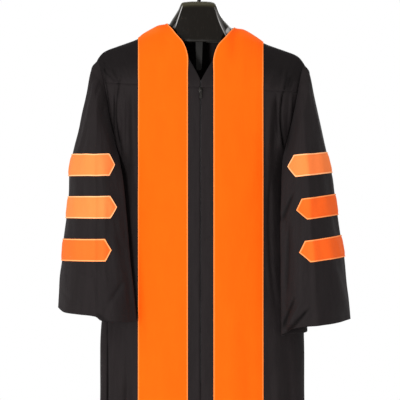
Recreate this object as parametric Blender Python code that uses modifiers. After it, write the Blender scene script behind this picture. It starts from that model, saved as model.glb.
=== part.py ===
"""A graduation gown with velvet facings and sleeve bars, held by a moulded hanger.

Metres, +Z up, the gown's front towards -Y.  The origin is the inner top of the
hanger's hook, where a rail would carry it.  Tables are in millimetres.
"""
import math
from collections import namedtuple

import bmesh
import bpy
from mathutils import Vector

MM = 0.001

# Driving sizes
CLOTH = 2.0 * MM            # wall of the gown's cloth
VELVET = 1.6 * MM           # wall of the velvet facings and bars
SEAM = 0.3 * MM             # gap between pieces that are sewn together
LIFT = 0.5 * MM             # gap under a piece that lies on a panel
YOKE_LIFT = 1.2 * MM        # what the velvet adds to that over the rounded shoulder
GOWN_X = 4.0 * MM           # the gown hangs this far to one side of the hook
LEAN = 5.0 * MM             # one shoulder sits this much higher, the other lower
SIDE_SHIFT = 4.0 * MM       # the body hangs this much wider on one side
ROUNDNESS = 2.2             # superellipse power of the body's sections
SHOULDER_ARCH = 110 * MM    # drop over which a shoulder rounds to its full depth
HEM_Z = -1.425              # the gown's hem
UNDERARM_Z = -0.470
YOKE_Z = -0.2795            # yoke seam at the centre front
YOKE_SLOPE = 0.05           # the seam's fall towards one side
ZIP_EDGE = 3.4 * MM         # half the slot between the front edges
ZIP_END_Z = -0.975
VELVET_INNER = 31 * MM
VELVET_OUTER = 152 * MM

Level = namedtuple("Level", "z half_width front back")
BODY_LEVELS = [
    Level(-100, 256, 48, 50),
    Level(-160, 256, 57, 60),
    Level(-210, 256, 67, 73),
    Level(-260, 252, 76, 82),
    Level(-314, 245, 84, 88),
    Level(-360, 235, 88, 91),
    Level(-414, 220, 91, 94),
    Level(-470, 205, 92, 96),
    Level(-550, 207, 93, 98),
    Level(-650, 214, 95, 101),
    Level(-750, 227, 97, 105),
    Level(-860, 246, 100, 110),
    Level(-1050, 249, 107, 120),
    Level(-1425, 262, 118, 136),
]

Ridge = namedtuple("Ridge", "x z")
SHOULDER_RIDGE = [
    Ridge(0, -60),
    Ridge(30, -66),
    Ridge(60, -94),
    Ridge(80, -128),
    Ridge(105, -136.5),
    Ridge(128, -149),
    Ridge(155, -166),
    Ridge(185, -180),
    Ridge(205, -188),
    Ridge(237, -202),
    Ridge(252, -216),
    Ridge(262, -240),
]

# The armhole's distance from the centre, by the share of its drop from tip to underarm
Armhole = namedtuple("Armhole", "drop x")
ARMHOLE = [
    Armhole(0.00, 252.0),
    Armhole(0.08, 244.0),
    Armhole(0.20, 236.0),
    Armhole(0.40, 227.0),
    Armhole(0.60, 217.0),
    Armhole(0.80, 205.5),
    Armhole(0.93, 201.5),
    Armhole(1.00, 205.0),
]
TIP_Z = -0.215
YOKE_DROP = 0.22            # share of the armhole above the yoke seam

# The neckline's rows run from the shoulder to the yoke seam
Neck = namedtuple("Neck", "x z velvet_x velvet_z")
NECKLINE = [
    Neck(80.0, -128, 80.0, -128),
    Neck(69.0, -139, 69.0, -139),
    Neck(58.0, -154, 58.0, -154),
    Neck(41.0, -175, 41.0, -175),
    Neck(31.0, -206, 31.0, -206),
    Neck(3.4, -262, 31.0, -244),
    Neck(3.4, -279.5, 31.0, -279.5),
]
BACK_NECK_Z = -0.134

# Heights of the body panels' rows below the yoke seam, as far as the hem
PANEL_ROWS = [-0.520, -0.600, -0.700, -0.800, -0.880, -0.960, -1.050, -1.140, -1.230,
              -1.325, HEM_Z]
PANEL_COLUMNS_X = [ZIP_EDGE, 16 * MM, VELVET_INNER, 61 * MM, 91 * MM, 121 * MM, VELVET_OUTER]
OUTER_COLUMNS = 9           # of a front panel, past the velvet
BACK_COLUMNS = 50
YOKE_ROWS = 6
ARMHOLE_ROWS = 6
YOKE_COLUMNS = 8
BACK_YOKE_X = [0, 22, 42, 58, 69, 76, 80, 100, 122, 140, 152, 178, 205, 230, 252]
# Where the neck velvet ends on each of those columns, in rows of the back yoke
VELVET_NECK_ENDS = [4, 4, 4, 4, 4, 4, 4, 4, 3.7, 3, 2]
# How far down the back yoke each of its rows lies
BACK_YOKE_FALL = [0, 0.034, 0.125, 0.265, 0.45, 0.72, 1]

# Front folds: a line from top to low, its half width, its depth (+ out), left is -1
Fold = namedtuple("Fold", "side x_top x_low z_top z_low width depth")
FRONT_FOLDS = [
    Fold(-1, 182, 176, -285, -470, 14, -5),
    Fold(-1, 168, 158, -285, -560, 12, 4),
    Fold(1, 186, 176, -295, -470, 14, -6),
    Fold(1, 170, 164, -300, -560, 12, 4),
    Fold(-1, 224, 230, -860, -1425, 17, -13),
    Fold(-1, 196, 200, -840, -1425, 18, 8),
    Fold(-1, 176, 178, -840, -1425, 14, -6),
    Fold(1, 186, 190, -860, -1425, 20, 8),
    Fold(1, 214, 222, -860, -1425, 18, -11),
    Fold(-1, 92, 100, -820, -1425, 40, 4),
    Fold(1, 84, 78, -700, -1425, 40, 5),
]

# Back flutes: angle from the centre back, half width, depth out at the hem
Flute = namedtuple("Flute", "angle width seam hem")
BACK_FLUTES = [
    Flute(-66, 8.5, 8, 24),
    Flute(-51, 8.5, 12, 31),
    Flute(-36, 8.0, 13, 28),
    Flute(-22, 7.5, 12, 33),
    Flute(-8, 7.0, 14, 29),
    Flute(6, 7.0, 13, 32),
    Flute(19, 7.5, 12, 28),
    Flute(33, 8.0, 13, 33),
    Flute(48, 8.5, 12, 29),
    Flute(64, 8.5, 8, 25),
]

Sleeve = namedtuple("Sleeve", "z outer inner centre half_depth skew")
SLEEVES = {
    -1: [
        Sleeve(-212, 254, 246, 0, 10, 0),
        Sleeve(-235, 267, 240, -2, 26, 0),
        Sleeve(-292, 278, 229, -8, 52, 4),
        Sleeve(-340, 289, 220, -12, 68, 10),
        Sleeve(-385, 298, 210, -17, 80, 18),
        Sleeve(-431, 310, 199, -22, 90, 26),
        Sleeve(-480, 320, 189, -26, 97, 34),
        Sleeve(-540, 322, 180, -29, 102, 38),
        Sleeve(-600, 328, 176, -30, 105, 40),
        Sleeve(-650, 335, 173, -31, 108, 41),
        Sleeve(-703, 339, 169, -32, 110, 42),
        Sleeve(-740, 344, 164, -33, 112, 43),
        Sleeve(-787, 346, 160, -34, 114, 44),
        Sleeve(-860, 351, 151, -35, 116, 45),
    ],
    1: [
        Sleeve(-217, 254, 246, 0, 10, 0),
        Sleeve(-244, 265, 236, -2, 26, 0),
        Sleeve(-297, 276, 219, -8, 52, 4),
        Sleeve(-340, 286, 213, -12, 68, 10),
        Sleeve(-385, 296, 207, -17, 80, 18),
        Sleeve(-431, 306, 202, -22, 90, 26),
        Sleeve(-497, 322, 198, -27, 98, 34),
        Sleeve(-537, 327, 197, -29, 102, 38),
        Sleeve(-590, 334, 196, -30, 105, 40),
        Sleeve(-640, 341, 196, -31, 108, 41),
        Sleeve(-694, 350, 196, -32, 110, 42),
        Sleeve(-762, 357, 196, -33, 112, 43),
        Sleeve(-799, 362, 196, -34, 114, 44),
        Sleeve(-890, 370, 197, -35, 116, 45),
    ],
}
Cuff = namedtuple("Cuff", "outer inner")
CUFF_Z = {-1: Cuff(-820, -851), 1: Cuff(-847, -882)}
SLEEVE_COLUMNS = 2 * (YOKE_ROWS + ARMHOLE_ROWS)
SLEEVE_ROWS = [0, 0.04, 0.10, 0.17, 0.25, 0.33, 0.42, 0.51, 0.60, 0.69, 0.78, 0.89, 1.0]
HEAD_GAP = 1.6 * MM         # the sleeve's head is drawn this far from the armhole's edge
SLEEVE_CLEAR = 12 * MM      # the sleeve stays this far outside the body's form

# Folds of a sleeve: angle from its outer edge, half width, depth (+ out), start down
SleeveFold = namedtuple("SleeveFold", "side angle width depth start")
SLEEVE_FOLDS = [
    SleeveFold(-1, 120, 26, 9, 0.25),
    SleeveFold(-1, 88, 20, -8, 0.35),
    SleeveFold(-1, 300, 26, -10, 0.30),
    SleeveFold(-1, 265, 24, 9, 0.30),
    SleeveFold(1, 118, 22, 8, 0.30),
    SleeveFold(1, 142, 18, -8, 0.45),
    SleeveFold(1, 298, 26, -9, 0.30),
    SleeveFold(1, 262, 24, 9, 0.35),
]

# Sleeve bars: heights at the outer edge and near the tip, reach of the tip and its shoulder
BAR_LENGTH = 285 * MM       # from point to point, round the sleeve
BAR_STANDS = 2.8 * MM       # a bar's face above the sleeve's cloth
UNDER_BARS = 4 * MM         # depth of the guide that trims a bar's back to the sleeve
Bar = namedtuple("Bar", "side outer_top outer_low tip_top tip_low tip_x shoulder_x")
SLEEVE_BARS = [
    Bar(-1, -440, -496, -442, -496, 211, 223),
    Bar(-1, -544, -599, -544, -599, 205, 220),
    Bar(-1, -649, -703, -649, -703, 218.5, 232),
    Bar(1, -436, -487, -443, -497, 217, 231),
    Bar(1, -539, -590, -549, -601, 233.5, 251),
    Bar(1, -639, -691, -655, -705, 241, 256),
]

# Hanger: its neck by heights, and its shoulders by how far they lie under the gown's
Hanger = namedtuple("Hanger", "x left_top right_top half_depth skirt")
HANGER_NECK = [
    Hanger(0, -70, -70, 33, -167),
    Hanger(24, -70, -70, 33, -167),
    Hanger(37, -71, -71.5, 32, -167),
    Hanger(42.5, -72.5, -75.5, 31, -167),
    Hanger(46.5, -76.5, -85, 30.5, -167),
    Hanger(50, -86, -92, 30.2, -167.5),
    Hanger(54, -95.5, -99.5, 30, -168),
    Hanger(61, -108.5, -109, 28, -170),
    Hanger(69, -126.5, -116.5, 24.2, -172),
    Hanger(77, -136, -125, 20.8, -174),
    Hanger(84, -137.5, -132.5, 19.5, -175),
    Hanger(92, -141, -138, 18.5, -176),
]
Shoulder = namedtuple("Shoulder", "x under half_depth drop")
HANGER_SHOULDERS = [
    Shoulder(104, 3.8, 18, 36),
    Shoulder(130, 2.8, 15, 35),
    Shoulder(160, 1.8, 12.5, 33),
    Shoulder(190, 1.8, 10, 29),
    Shoulder(212, 2.0, 7.5, 23),
    Shoulder(224, 3.0, 5, 16),
]
HANGER_WALL = 2.6 * MM
HANGER_ARC_POINTS = 6
HANGER_BEND = 22 * MM       # the most that the hanger's upper edges are rounded

RIB_HALF_WIDTH = 11 * MM
RIB_LOW_Z = -0.236
RIB_THICKNESS = 4 * MM
RIB_TAPER = 0.62
ROUND_STEPS = 8             # of the rounded ends of the rib and the pull tab

HOOK_WIRE = 4.6 * MM
HOOK_INNER_RADIUS = 20 * MM
HOOK_START_ANGLE = -72
HOOK_END_ANGLE = 205
HOOK_STEPS = 24
HOOK_TIP = Vector((-2.5, -4)) * MM
HOOK_SEAT_Z = -0.0697
COLLAR_RADIUS = 4.6 * MM
COLLAR_HEIGHT = 13 * MM
COLLAR_CHAMFER = 1.2 * MM
COLLAR_SIDES = 20

# Zip slider and pull tab
SLIDER_Z = -0.2862
SLIDER_WIDTH = 9.5 * MM
SLIDER_HEIGHT = 13 * MM
SLIDER_THICKNESS = 2.4 * MM
BRIDGE_BAR = 1.4 * MM
BRIDGE_WIDTH = 2.0 * MM
BRIDGE_HEIGHT = 9.2 * MM
BRIDGE_STAND = 1.4 * MM     # from the tab's axis to the slider and to the bridge's bar
TAB_LENGTH = 22 * MM
TAB_WIDTH = 6.6 * MM
TAB_THICKNESS = 1.2 * MM
TAB_CROSSBAR = 1.4 * MM
TAB_EYE_WIDTH = 3.4 * MM
TAB_EYE_END = 6.2 * MM
CHAIN_WIDTH = 4.6 * MM
CHAIN_THICKNESS = 1.8 * MM
TAPE_WIDTH = 24 * MM
TAPE_THICKNESS = 0.9 * MM


def look_up(rows, key, column, at):
    """A smooth curve through a table's column, in metres where the key is in metres."""
    keys = [getattr(row, key) for row in rows]
    values = [getattr(row, column) for row in rows]
    if keys[0] > keys[-1]:
        keys.reverse()
        values.reverse()
    if at <= keys[0]:
        return values[0]
    if at >= keys[-1]:
        return values[-1]
    step = next(i for i in range(len(keys) - 1) if at <= keys[i + 1])

    def slope(i):
        low = max(i - 1, 0)
        high = min(i + 1, len(keys) - 1)
        return (values[high] - values[low]) / (keys[high] - keys[low])

    span = keys[step + 1] - keys[step]
    t = (at - keys[step]) / span
    rise_0 = slope(step) * span
    rise_1 = slope(step + 1) * span
    return ((2 * t ** 3 - 3 * t ** 2 + 1) * values[step] + (t ** 3 - 2 * t ** 2 + t) * rise_0
            + (3 * t ** 2 - 2 * t ** 3) * values[step + 1] + (t ** 3 - t ** 2) * rise_1)


def mix(a, b, t):
    return a + (b - a) * t


def ease(t):
    t = min(max(t, 0.0), 1.0)
    return t * t * (3 - 2 * t)


def bump(t):
    """A soft ridge, 1 at t = 0 and 0 beyond t = 1 either way."""
    return 0.5 + 0.5 * math.cos(math.pi * t) if abs(t) < 1 else 0.0


def ridge_z(x):
    """The height of the shoulder line, and above it the line that the neck would take."""
    side = 1 if x > 0 else -1
    lean = LEAN * min(abs(x) / 0.08, 1.0) * side
    return look_up(SHOULDER_RIDGE, "x", "z", abs(x) / MM) * MM - lean


def half_width(side, z):
    low = ease((UNDERARM_Z - z) / 0.3)
    return look_up(BODY_LEVELS, "z", "half_width", z / MM) * MM + side * SIDE_SHIFT * low


def shoulder_arch(drop):
    share = min(max(drop / SHOULDER_ARCH, 0.0), 1.0)
    return math.sqrt(1 - (1 - share) ** 2)


def angle_at(x, z):
    side = 1 if x > 0 else -1
    reach = min(abs(x) / half_width(side, z), 1.0)
    return math.asin(min(reach ** (ROUNDNESS / 2), 1.0))


def front_folds(side, x, z):
    out = 0.0
    for fold in FRONT_FOLDS:
        if fold.side == side:
            along = (z / MM - fold.z_top) / (fold.z_low - fold.z_top)
            line = mix(fold.x_top, fold.x_low, min(max(along, 0.0), 1.0))
            if fold.z_low == HEM_Z / MM:
                strength = ease(along * 2.2)
            else:
                strength = ease(along * 5) * ease((1 - along) * 2)
            out += fold.depth * MM * strength * bump((abs(x) / MM - line) / fold.width)
    return out


def back_flutes(side, angle, z):
    drop = min(max((YOKE_Z - z) / (YOKE_Z - HEM_Z), 0.0), 1.0)
    start = ease((YOKE_Z - 0.004 - z) / 0.05)
    out = 0.0
    for flute in BACK_FLUTES:
        near = (side * math.degrees(angle) - flute.angle) / flute.width
        out += mix(flute.seam, flute.hem, drop ** 0.8) * MM * start * bump(near)
    return out


def on_body(face, side, angle, z):
    """A point of the body's form; face is -1 at the front and 1 at the back."""
    x = side * half_width(side, z) * math.sin(angle) ** (2 / ROUNDNESS)
    level = "front" if face < 0 else "back"
    depth = look_up(BODY_LEVELS, "z", level, z / MM) * MM
    depth *= max(math.cos(angle), 0.0) ** (2 / ROUNDNESS) * shoulder_arch(ridge_z(x) - z)
    depth += front_folds(side, x, z) if face < 0 else back_flutes(side, angle, z)
    return Vector((x, face * depth, z))


def on_body_at(face, side, x, z):
    return on_body(face, side, angle_at(side * x, z), z)


def yoke_z(side, x):
    return YOKE_Z - YOKE_SLOPE * side * x


def armhole_drop(step):
    """The share of the armhole's drop at a row; the yoke ends on a whole row."""
    if step <= YOKE_ROWS:
        return YOKE_DROP * (1 - math.cos(math.radians(90 * step / YOKE_ROWS)))
    rest = math.sin(math.radians(90 * (step - YOKE_ROWS) / ARMHOLE_ROWS))
    return YOKE_DROP + (1 - YOKE_DROP) * rest


def armhole(side, step):
    """Distance from the centre and height of the armhole at a row."""
    drop = armhole_drop(step)
    x = look_up(ARMHOLE, "drop", "x", drop) * MM
    tip = TIP_Z - LEAN * side
    seam = yoke_z(side, look_up(ARMHOLE, "drop", "x", YOKE_DROP) * MM)
    if drop <= YOKE_DROP:
        return x, mix(tip, seam, drop / YOKE_DROP)
    return x, mix(seam, UNDERARM_Z, (drop - YOKE_DROP) / (1 - YOKE_DROP))


def armhole_point(face, side, step):
    x, z = armhole(side, step)
    if step >= YOKE_ROWS + ARMHOLE_ROWS:
        return on_body(face, side, math.pi / 2, z)
    if step <= 0:
        return Vector((side * x, 0, ridge_z(side * x)))
    return on_body_at(face, side, x, z)


def normal_of(surface, u, v, u_range, v_range, inside):
    """The outward normal of a surface at (u, v), by small steps that stay in range."""
    reach = 0.02
    u_0, u_1 = max(u - reach, u_range[0]), min(u + reach, u_range[1])
    v_0, v_1 = max(v - reach, v_range[0]), min(v + reach, v_range[1])
    across = surface(u_1, v) - surface(u_0, v)
    down = surface(u, v_1) - surface(u, v_0)
    normal = across.cross(down)
    if normal.length < 1e-12:
        normal = surface(u, v) - inside(surface(u, v))
    normal.normalize()
    point = surface(u, v)
    return normal if normal.dot(point - inside(point)) > 0 else -normal


def inside_body(point):
    return Vector((point.x * 0.6, 0, point.z - 0.12))


def sample(surface, columns, rows, inside):
    """A grid of (point, normal), row by row, from a surface of column and row numbers."""
    grid = []
    for v in range(rows + 1):
        line = []
        for u in range(columns + 1):
            normal = normal_of(surface, u, v, (0, columns), (0, rows), inside)
            line.append((surface(u, v), normal))
        grid.append(line)
    return grid


def inset_edges(grid, gap):
    """Draws a grid's four edges in by half a gap, so that sewn pieces stay apart."""
    def drawn(edge, inner):
        point, normal = edge
        along = inner[0] - point
        if along.length < gap:
            return edge
        return point + along.normalized() * gap / 2, normal

    for line in grid:
        line[0] = drawn(line[0], line[1])
        line[-1] = drawn(line[-1], line[-2])
    for u in range(len(grid[0])):
        grid[0][u] = drawn(grid[0][u], grid[1][u])
        grid[-1][u] = drawn(grid[-1][u], grid[-2][u])
    return grid


def material(name, colour, roughness, metallic=0.0):
    finish = bpy.data.materials.new(name)
    finish.use_nodes = True
    shader = finish.node_tree.nodes["Principled BSDF"]
    shader.inputs["Base Color"].default_value = (*colour, 1)
    shader.inputs["Roughness"].default_value = roughness
    shader.inputs["Metallic"].default_value = metallic
    return finish


def put(name, mesh, finish, collection):
    mesh.materials.append(finish)
    item = bpy.data.objects.new(name, mesh)
    collection.objects.link(item)
    return item


def cloth_wall(name, grid, thickness, finish, collection, lift=0.0, tube=False):
    """A closed wall on a grid of points: an outer face, an inner face and their rims."""
    shape = bmesh.new()
    shift = Vector((GOWN_X, 0, 0))
    outer = [[shape.verts.new(p + n * (lift + thickness) + shift) for p, n in line]
             for line in grid]
    inner = [[shape.verts.new(p + n * lift + shift) for p, n in line] for line in grid]
    rows, columns = len(grid), len(grid[0])
    spans = columns if tube else columns - 1
    for v in range(rows - 1):
        for u in range(spans):
            w = (u + 1) % columns
            for skin in (outer, inner):
                shape.faces.new((skin[v][u], skin[v][w], skin[v + 1][w]))
                shape.faces.new((skin[v][u], skin[v + 1][w], skin[v + 1][u]))
    for u in range(spans):
        w = (u + 1) % columns
        shape.faces.new((inner[0][u], inner[0][w], outer[0][w], outer[0][u]))
        shape.faces.new((inner[-1][w], inner[-1][u], outer[-1][u], outer[-1][w]))
    if not tube:
        for v in range(rows - 1):
            shape.faces.new((inner[v + 1][0], inner[v][0], outer[v][0], outer[v + 1][0]))
            shape.faces.new((inner[v][-1], inner[v + 1][-1], outer[v + 1][-1], outer[v][-1]))
    bmesh.ops.remove_doubles(shape, verts=shape.verts, dist=1e-6)
    bmesh.ops.recalc_face_normals(shape, faces=shape.faces)
    mesh = bpy.data.meshes.new(name)
    shape.to_mesh(mesh)
    shape.free()
    mesh.shade_smooth()
    return put(name, mesh, finish, collection)


def panel_row_z(side, row, x):
    """Rows of a body panel: along the armhole first, then the table's heights."""
    if row <= ARMHOLE_ROWS:
        low = int(row) if row < ARMHOLE_ROWS else ARMHOLE_ROWS - 1
        heights = [armhole(side, YOKE_ROWS + low + i)[1] for i in (0, 1)]
        level = mix(heights[0], heights[1], row - low)
        seam = armhole(side, YOKE_ROWS)[1]
        return level + (yoke_z(side, x) - seam) * (UNDERARM_Z - level) / (UNDERARM_Z - seam)
    heights = [UNDERARM_Z] + PANEL_ROWS
    low = min(int(row - ARMHOLE_ROWS), len(PANEL_ROWS) - 1)
    return mix(heights[low], heights[low + 1], row - ARMHOLE_ROWS - low)


PANEL_ROW_COUNT = ARMHOLE_ROWS + len(PANEL_ROWS)


def settled(side, row, guess, angle_for):
    """A panel's angle and height at a row, where each depends a little on the other."""
    x = guess
    for _ in range(4):
        z = panel_row_z(side, row, x)
        angle = angle_for(z)
        x = half_width(side, z) * math.sin(angle) ** (2 / ROUNDNESS)
    return angle, z


def outer_angle(side, row, z):
    """Where a body panel ends: on the armhole, and below it at the side seam."""
    if row >= ARMHOLE_ROWS:
        return math.pi / 2
    low = int(row)
    edge = [armhole(side, YOKE_ROWS + low + i)[0] for i in (0, 1)]
    x = mix(edge[0], edge[1], row - low)
    return angle_at(side * x, z)


def front_surface(side):
    """A front panel, from the zip's edge past the velvet's columns to the side seam."""
    last = len(PANEL_COLUMNS_X) - 1

    def surface(u, row):
        if u <= last:
            low = min(int(u), last - 1)
            x = mix(PANEL_COLUMNS_X[low], PANEL_COLUMNS_X[low + 1], u - low)
            z = panel_row_z(side, row, x)
            if z < ZIP_END_Z and low == 0:
                x -= (ZIP_EDGE - SEAM / 2) * (1 - u) * ease((ZIP_END_Z - z) / 0.05)
            return on_body_at(-1, side, x, z)
        share = (u - last) / OUTER_COLUMNS
        angle, z = settled(side, row, VELVET_OUTER, lambda level: mix(
            angle_at(side * VELVET_OUTER, level), outer_angle(side, row, level), share))
        return on_body(-1, side, angle, z)

    return surface, last + OUTER_COLUMNS


def yoke_front_surface(side):
    """A front yoke, from the neckline to the armhole and from the shoulder to its seam."""
    def edge_rows(row):
        low = min(int(row), YOKE_ROWS - 1)
        neck = [Vector((NECKLINE[low + i].x, NECKLINE[low + i].z)) * MM for i in (0, 1)]
        lean = LEAN * side * (1 - row / YOKE_ROWS)
        inner = neck[0].lerp(neck[1], row - low) - Vector((0, lean))
        arm = [Vector(armhole(side, low + i)) for i in (0, 1)]
        return inner, arm[0].lerp(arm[1], row - low)

    def surface(u, row):
        inner, outer = edge_rows(row)
        top_inner, top_outer = edge_rows(0)
        share = u / YOKE_COLUMNS
        flat = inner.lerp(outer, share)
        top = top_inner.lerp(top_outer, share)
        fill = ridge_z(side * top.x) - top.y
        low = yoke_z(side, flat.x) - mix(edge_rows(YOKE_ROWS)[0].y,
                                         edge_rows(YOKE_ROWS)[1].y, share)
        down = row / YOKE_ROWS
        z = flat.y + fill * (1 - down) ** 2 + low * down ** 2
        z = min(z, ridge_z(side * flat.x))
        return on_body_at(-1, side, flat.x, z)

    return surface


def velvet_surface(side):
    """A velvet facing on the yoke's rows and then on the front panel's own points."""
    panel, _ = front_surface(side)
    first = PANEL_COLUMNS_X.index(VELVET_INNER)
    width = PANEL_COLUMNS_X.index(VELVET_OUTER) - first

    def surface(u, row):
        if row >= YOKE_ROWS:
            return panel(first + u, row - YOKE_ROWS)
        low = min(int(row), YOKE_ROWS - 1)
        rows = [NECKLINE[low], NECKLINE[low + 1]]
        part = row - low
        lean = LEAN * side * (1 - row / YOKE_ROWS)
        inner = Vector((mix(rows[0].velvet_x, rows[1].velvet_x, part),
                        mix(rows[0].velvet_z, rows[1].velvet_z, part))) * MM
        inner.y -= lean
        top = ridge_z(side * VELVET_OUTER)
        fall = 1 - math.cos(math.radians(90 * row / YOKE_ROWS))
        outer = Vector((VELVET_OUTER, mix(top, yoke_z(side, VELVET_OUTER), fall)))
        flat = inner.lerp(outer, u / width)
        top_x = mix(NECKLINE[0].velvet_x * MM, VELVET_OUTER, u / width)
        top_z = mix(NECKLINE[0].velvet_z * MM - LEAN * side, top, u / width)
        fill = ridge_z(side * top_x) - top_z
        z = min(flat.y + fill * (1 - row / YOKE_ROWS) ** 2, ridge_z(side * flat.x))
        seam = yoke_z(side, flat.x) - mix(YOKE_Z, yoke_z(side, VELVET_OUTER), u / width)
        z += seam * (row / YOKE_ROWS) ** 2
        return on_body_at(-1, side, flat.x, z)

    return surface, width


def back_top_z(x):
    """The back yoke's upper edge: the shoulder line, and the neckline between."""
    neck = NECKLINE[0].x * MM
    if abs(x) >= neck:
        return ridge_z(x)
    edge = ridge_z(math.copysign(neck, x))
    middle = ease(1 - abs(x) / neck)
    return mix(edge, BACK_NECK_Z, middle)


def yoke_back_surface(u, row):
    """The back yoke, from one armhole to the other."""
    last = len(BACK_YOKE_X) - 1
    side = 1 if u > last else -1
    place = abs(u - last)
    low_column = min(int(place), last - 1)
    top_x = mix(BACK_YOKE_X[low_column], BACK_YOKE_X[low_column + 1], place - low_column) * MM
    share = top_x / (BACK_YOKE_X[-1] * MM)
    low = min(int(row), YOKE_ROWS - 1)
    arm = [Vector(armhole(side, low + i)) for i in (0, 1)]
    x = arm[0].lerp(arm[1], row - low).x * share
    fall = mix(BACK_YOKE_FALL[low], BACK_YOKE_FALL[low + 1], row - low)
    z = mix(back_top_z(side * top_x), yoke_z(side, x), fall)
    z = min(z, ridge_z(side * x))
    return on_body_at(1, side, x, z)


def velvet_neck_grid(yoke):
    """The velvet round the back of the neck, on the back yoke's own columns and rows."""
    middle = len(BACK_YOKE_X) - 1
    reach = len(VELVET_NECK_ENDS) - 1
    whole_rows = int(max(VELVET_NECK_ENDS))
    grid = []
    for step in range(whole_rows + 2):
        line = []
        for u in range(middle - reach, middle + reach + 1):
            end = VELVET_NECK_ENDS[abs(u - middle)]
            row = end if step > whole_rows else min(step, end)
            low = min(int(row), YOKE_ROWS - 1)
            (p_0, n_0), (p_1, n_1) = yoke[low][u], yoke[low + 1][u]
            line.append((p_0.lerp(p_1, row - low), n_0.lerp(n_1, row - low).normalized()))
        grid.append(line)
    return grid


def back_surface(u, row):
    """The back panel, fluted, from one side seam to the other."""
    share = 2 * u / BACK_COLUMNS - 1
    side = 1 if share > 0 else -1
    angle, z = settled(side, row, VELVET_OUTER,
                       lambda level: outer_angle(side, row, level) * abs(share))
    return on_body(1, side, angle, z)


def sleeve_oval(side, angle, z):
    """A sleeve's level section; angle 0 is its outer edge, 90 degrees its front."""
    rows = SLEEVES[side]
    outer = look_up(rows, "z", "outer", z / MM)
    inner = look_up(rows, "z", "inner", z / MM)
    centre = look_up(rows, "z", "centre", z / MM)
    half_depth = look_up(rows, "z", "half_depth", z / MM)
    skew = look_up(rows, "z", "skew", z / MM)
    x = (outer + inner) / 2 + (outer - inner) / 2 * math.cos(angle)
    y = centre - half_depth * math.sin(angle) + skew * math.cos(angle)
    return Vector((side * x, y, 0)) * MM


def clear_of_body(point, side):
    """Moves a sleeve's point out, level, until it clears the body's form."""
    face = "front" if point.y < 0 else "back"
    wide = half_width(side, point.z) + SLEEVE_CLEAR
    deep = look_up(BODY_LEVELS, "z", face, point.z / MM) * MM + SLEEVE_CLEAR
    fill = (abs(point.x) / wide) ** ROUNDNESS + (abs(point.y) / deep) ** ROUNDNESS
    if fill >= 1:
        return point
    grow = fill ** (-1 / ROUNDNESS)
    return Vector((point.x * grow, point.y * grow, point.z))


def sleeve_surface(side):
    """A sleeve: columns run from the armhole's rows down to the cuff."""
    half = SLEEVE_COLUMNS // 2
    last = len(SLEEVE_ROWS) - 1

    def surface(u, row):
        u = u % SLEEVE_COLUMNS
        angle = 2 * math.pi * u / SLEEVE_COLUMNS
        step = u if u <= half else SLEEVE_COLUMNS - u
        face = -1 if u <= half else 1
        low = min(int(step), half - 1)
        start = armhole_point(face, side, low).lerp(armhole_point(face, side, low + 1),
                                                     step - low)
        first = min(int(row), last - 1)
        t = mix(SLEEVE_ROWS[first], SLEEVE_ROWS[first + 1], row - first)
        inward = (1 - math.cos(angle)) / 2
        cuff = mix(CUFF_Z[side].outer, CUFF_Z[side].inner, inward) * MM
        z = mix(start.z, cuff, t)
        oval = sleeve_oval(side, angle, z)
        turn = ease(t / mix(0.08, 0.15, inward))
        point = Vector((mix(start.x, oval.x, turn), mix(start.y, oval.y, turn), z))
        away = Vector((side * math.cos(angle), -math.sin(angle), 0))
        for fold in SLEEVE_FOLDS:
            if fold.side == side:
                near = (math.degrees(angle) - fold.angle) / fold.width
                grow = ease((t - fold.start) / (1 - fold.start))
                point += away * fold.depth * MM * bump(near) * grow
        if row > 0:
            cleared = clear_of_body(point, side)
            point = point.lerp(cleared, ease(t / 0.05))
        return point

    return surface


def inside_sleeve(side):
    def inside(point):
        rows = SLEEVES[side]
        z = point.z - 0.03
        outer = look_up(rows, "z", "outer", z / MM)
        inner = look_up(rows, "z", "inner", z / MM)
        centre = look_up(rows, "z", "centre", z / MM)
        return Vector((side * mix(inner, outer, 0.6) * MM, centre * MM, z))

    return inside


def sleeve_grid(side):
    """The sleeve's rings, the first one drawn clear of the armhole's edge."""
    surface = sleeve_surface(side)
    inside = inside_sleeve(side)
    last = len(SLEEVE_ROWS) - 1
    grid = []
    for row in range(last + 1):
        line = []
        for u in range(SLEEVE_COLUMNS):
            normal = normal_of(surface, u, row, (-9, SLEEVE_COLUMNS + 9), (0, last), inside)
            line.append((surface(u, row), normal))
        grid.append(line)
    for u in range(SLEEVE_COLUMNS):
        point, _ = grid[0][u]
        face = -1 if u <= SLEEVE_COLUMNS // 2 else 1
        along = (grid[1][u][0] - point).normalized()
        body_out = Vector((side * 0.35, face * abs(math.sin(2 * math.pi * u / SLEEVE_COLUMNS)),
                           0.3 * math.cos(2 * math.pi * u / SLEEVE_COLUMNS))).normalized()
        grid[0][u] = (point + along * HEAD_GAP + Vector((side * HEAD_GAP / 2, 0, 0)), body_out)
    return grid


def on_facets(grid, u, ring, part):
    """A point and normal of the sleeve's own triangles, part of the way below a ring."""
    low = math.floor(u)
    across = u - low
    corners = [grid[ring + i][(low + j) % SLEEVE_COLUMNS] for i in (0, 1) for j in (0, 1)]
    if across >= part:
        weights = (1 - across, across - part, 0, part)
    else:
        weights = (1 - part, 0, part - across, across)
    point = sum((corner[0] * w for corner, w in zip(corners, weights)), Vector())
    normal = sum((corner[1] * w for corner, w in zip(corners, weights)), Vector())
    return point, normal.normalized()


def point_on_sleeve(grid, u, z):
    """A point and normal of the sleeve's triangles at a column, whole or not, and a height."""
    across = u - math.floor(u)
    before = None
    for ring in range(len(grid) - 1):
        for part in (0, across) if across else (0,):
            here = on_facets(grid, u, ring, part)
            if here[0].z <= z:
                if before is None:
                    return here
                t = (before[0].z - z) / (before[0].z - here[0].z)
                normal = before[1].lerp(here[1], t).normalized()
                return before[0].lerp(here[0], t), normal
            before = here
    return before


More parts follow.
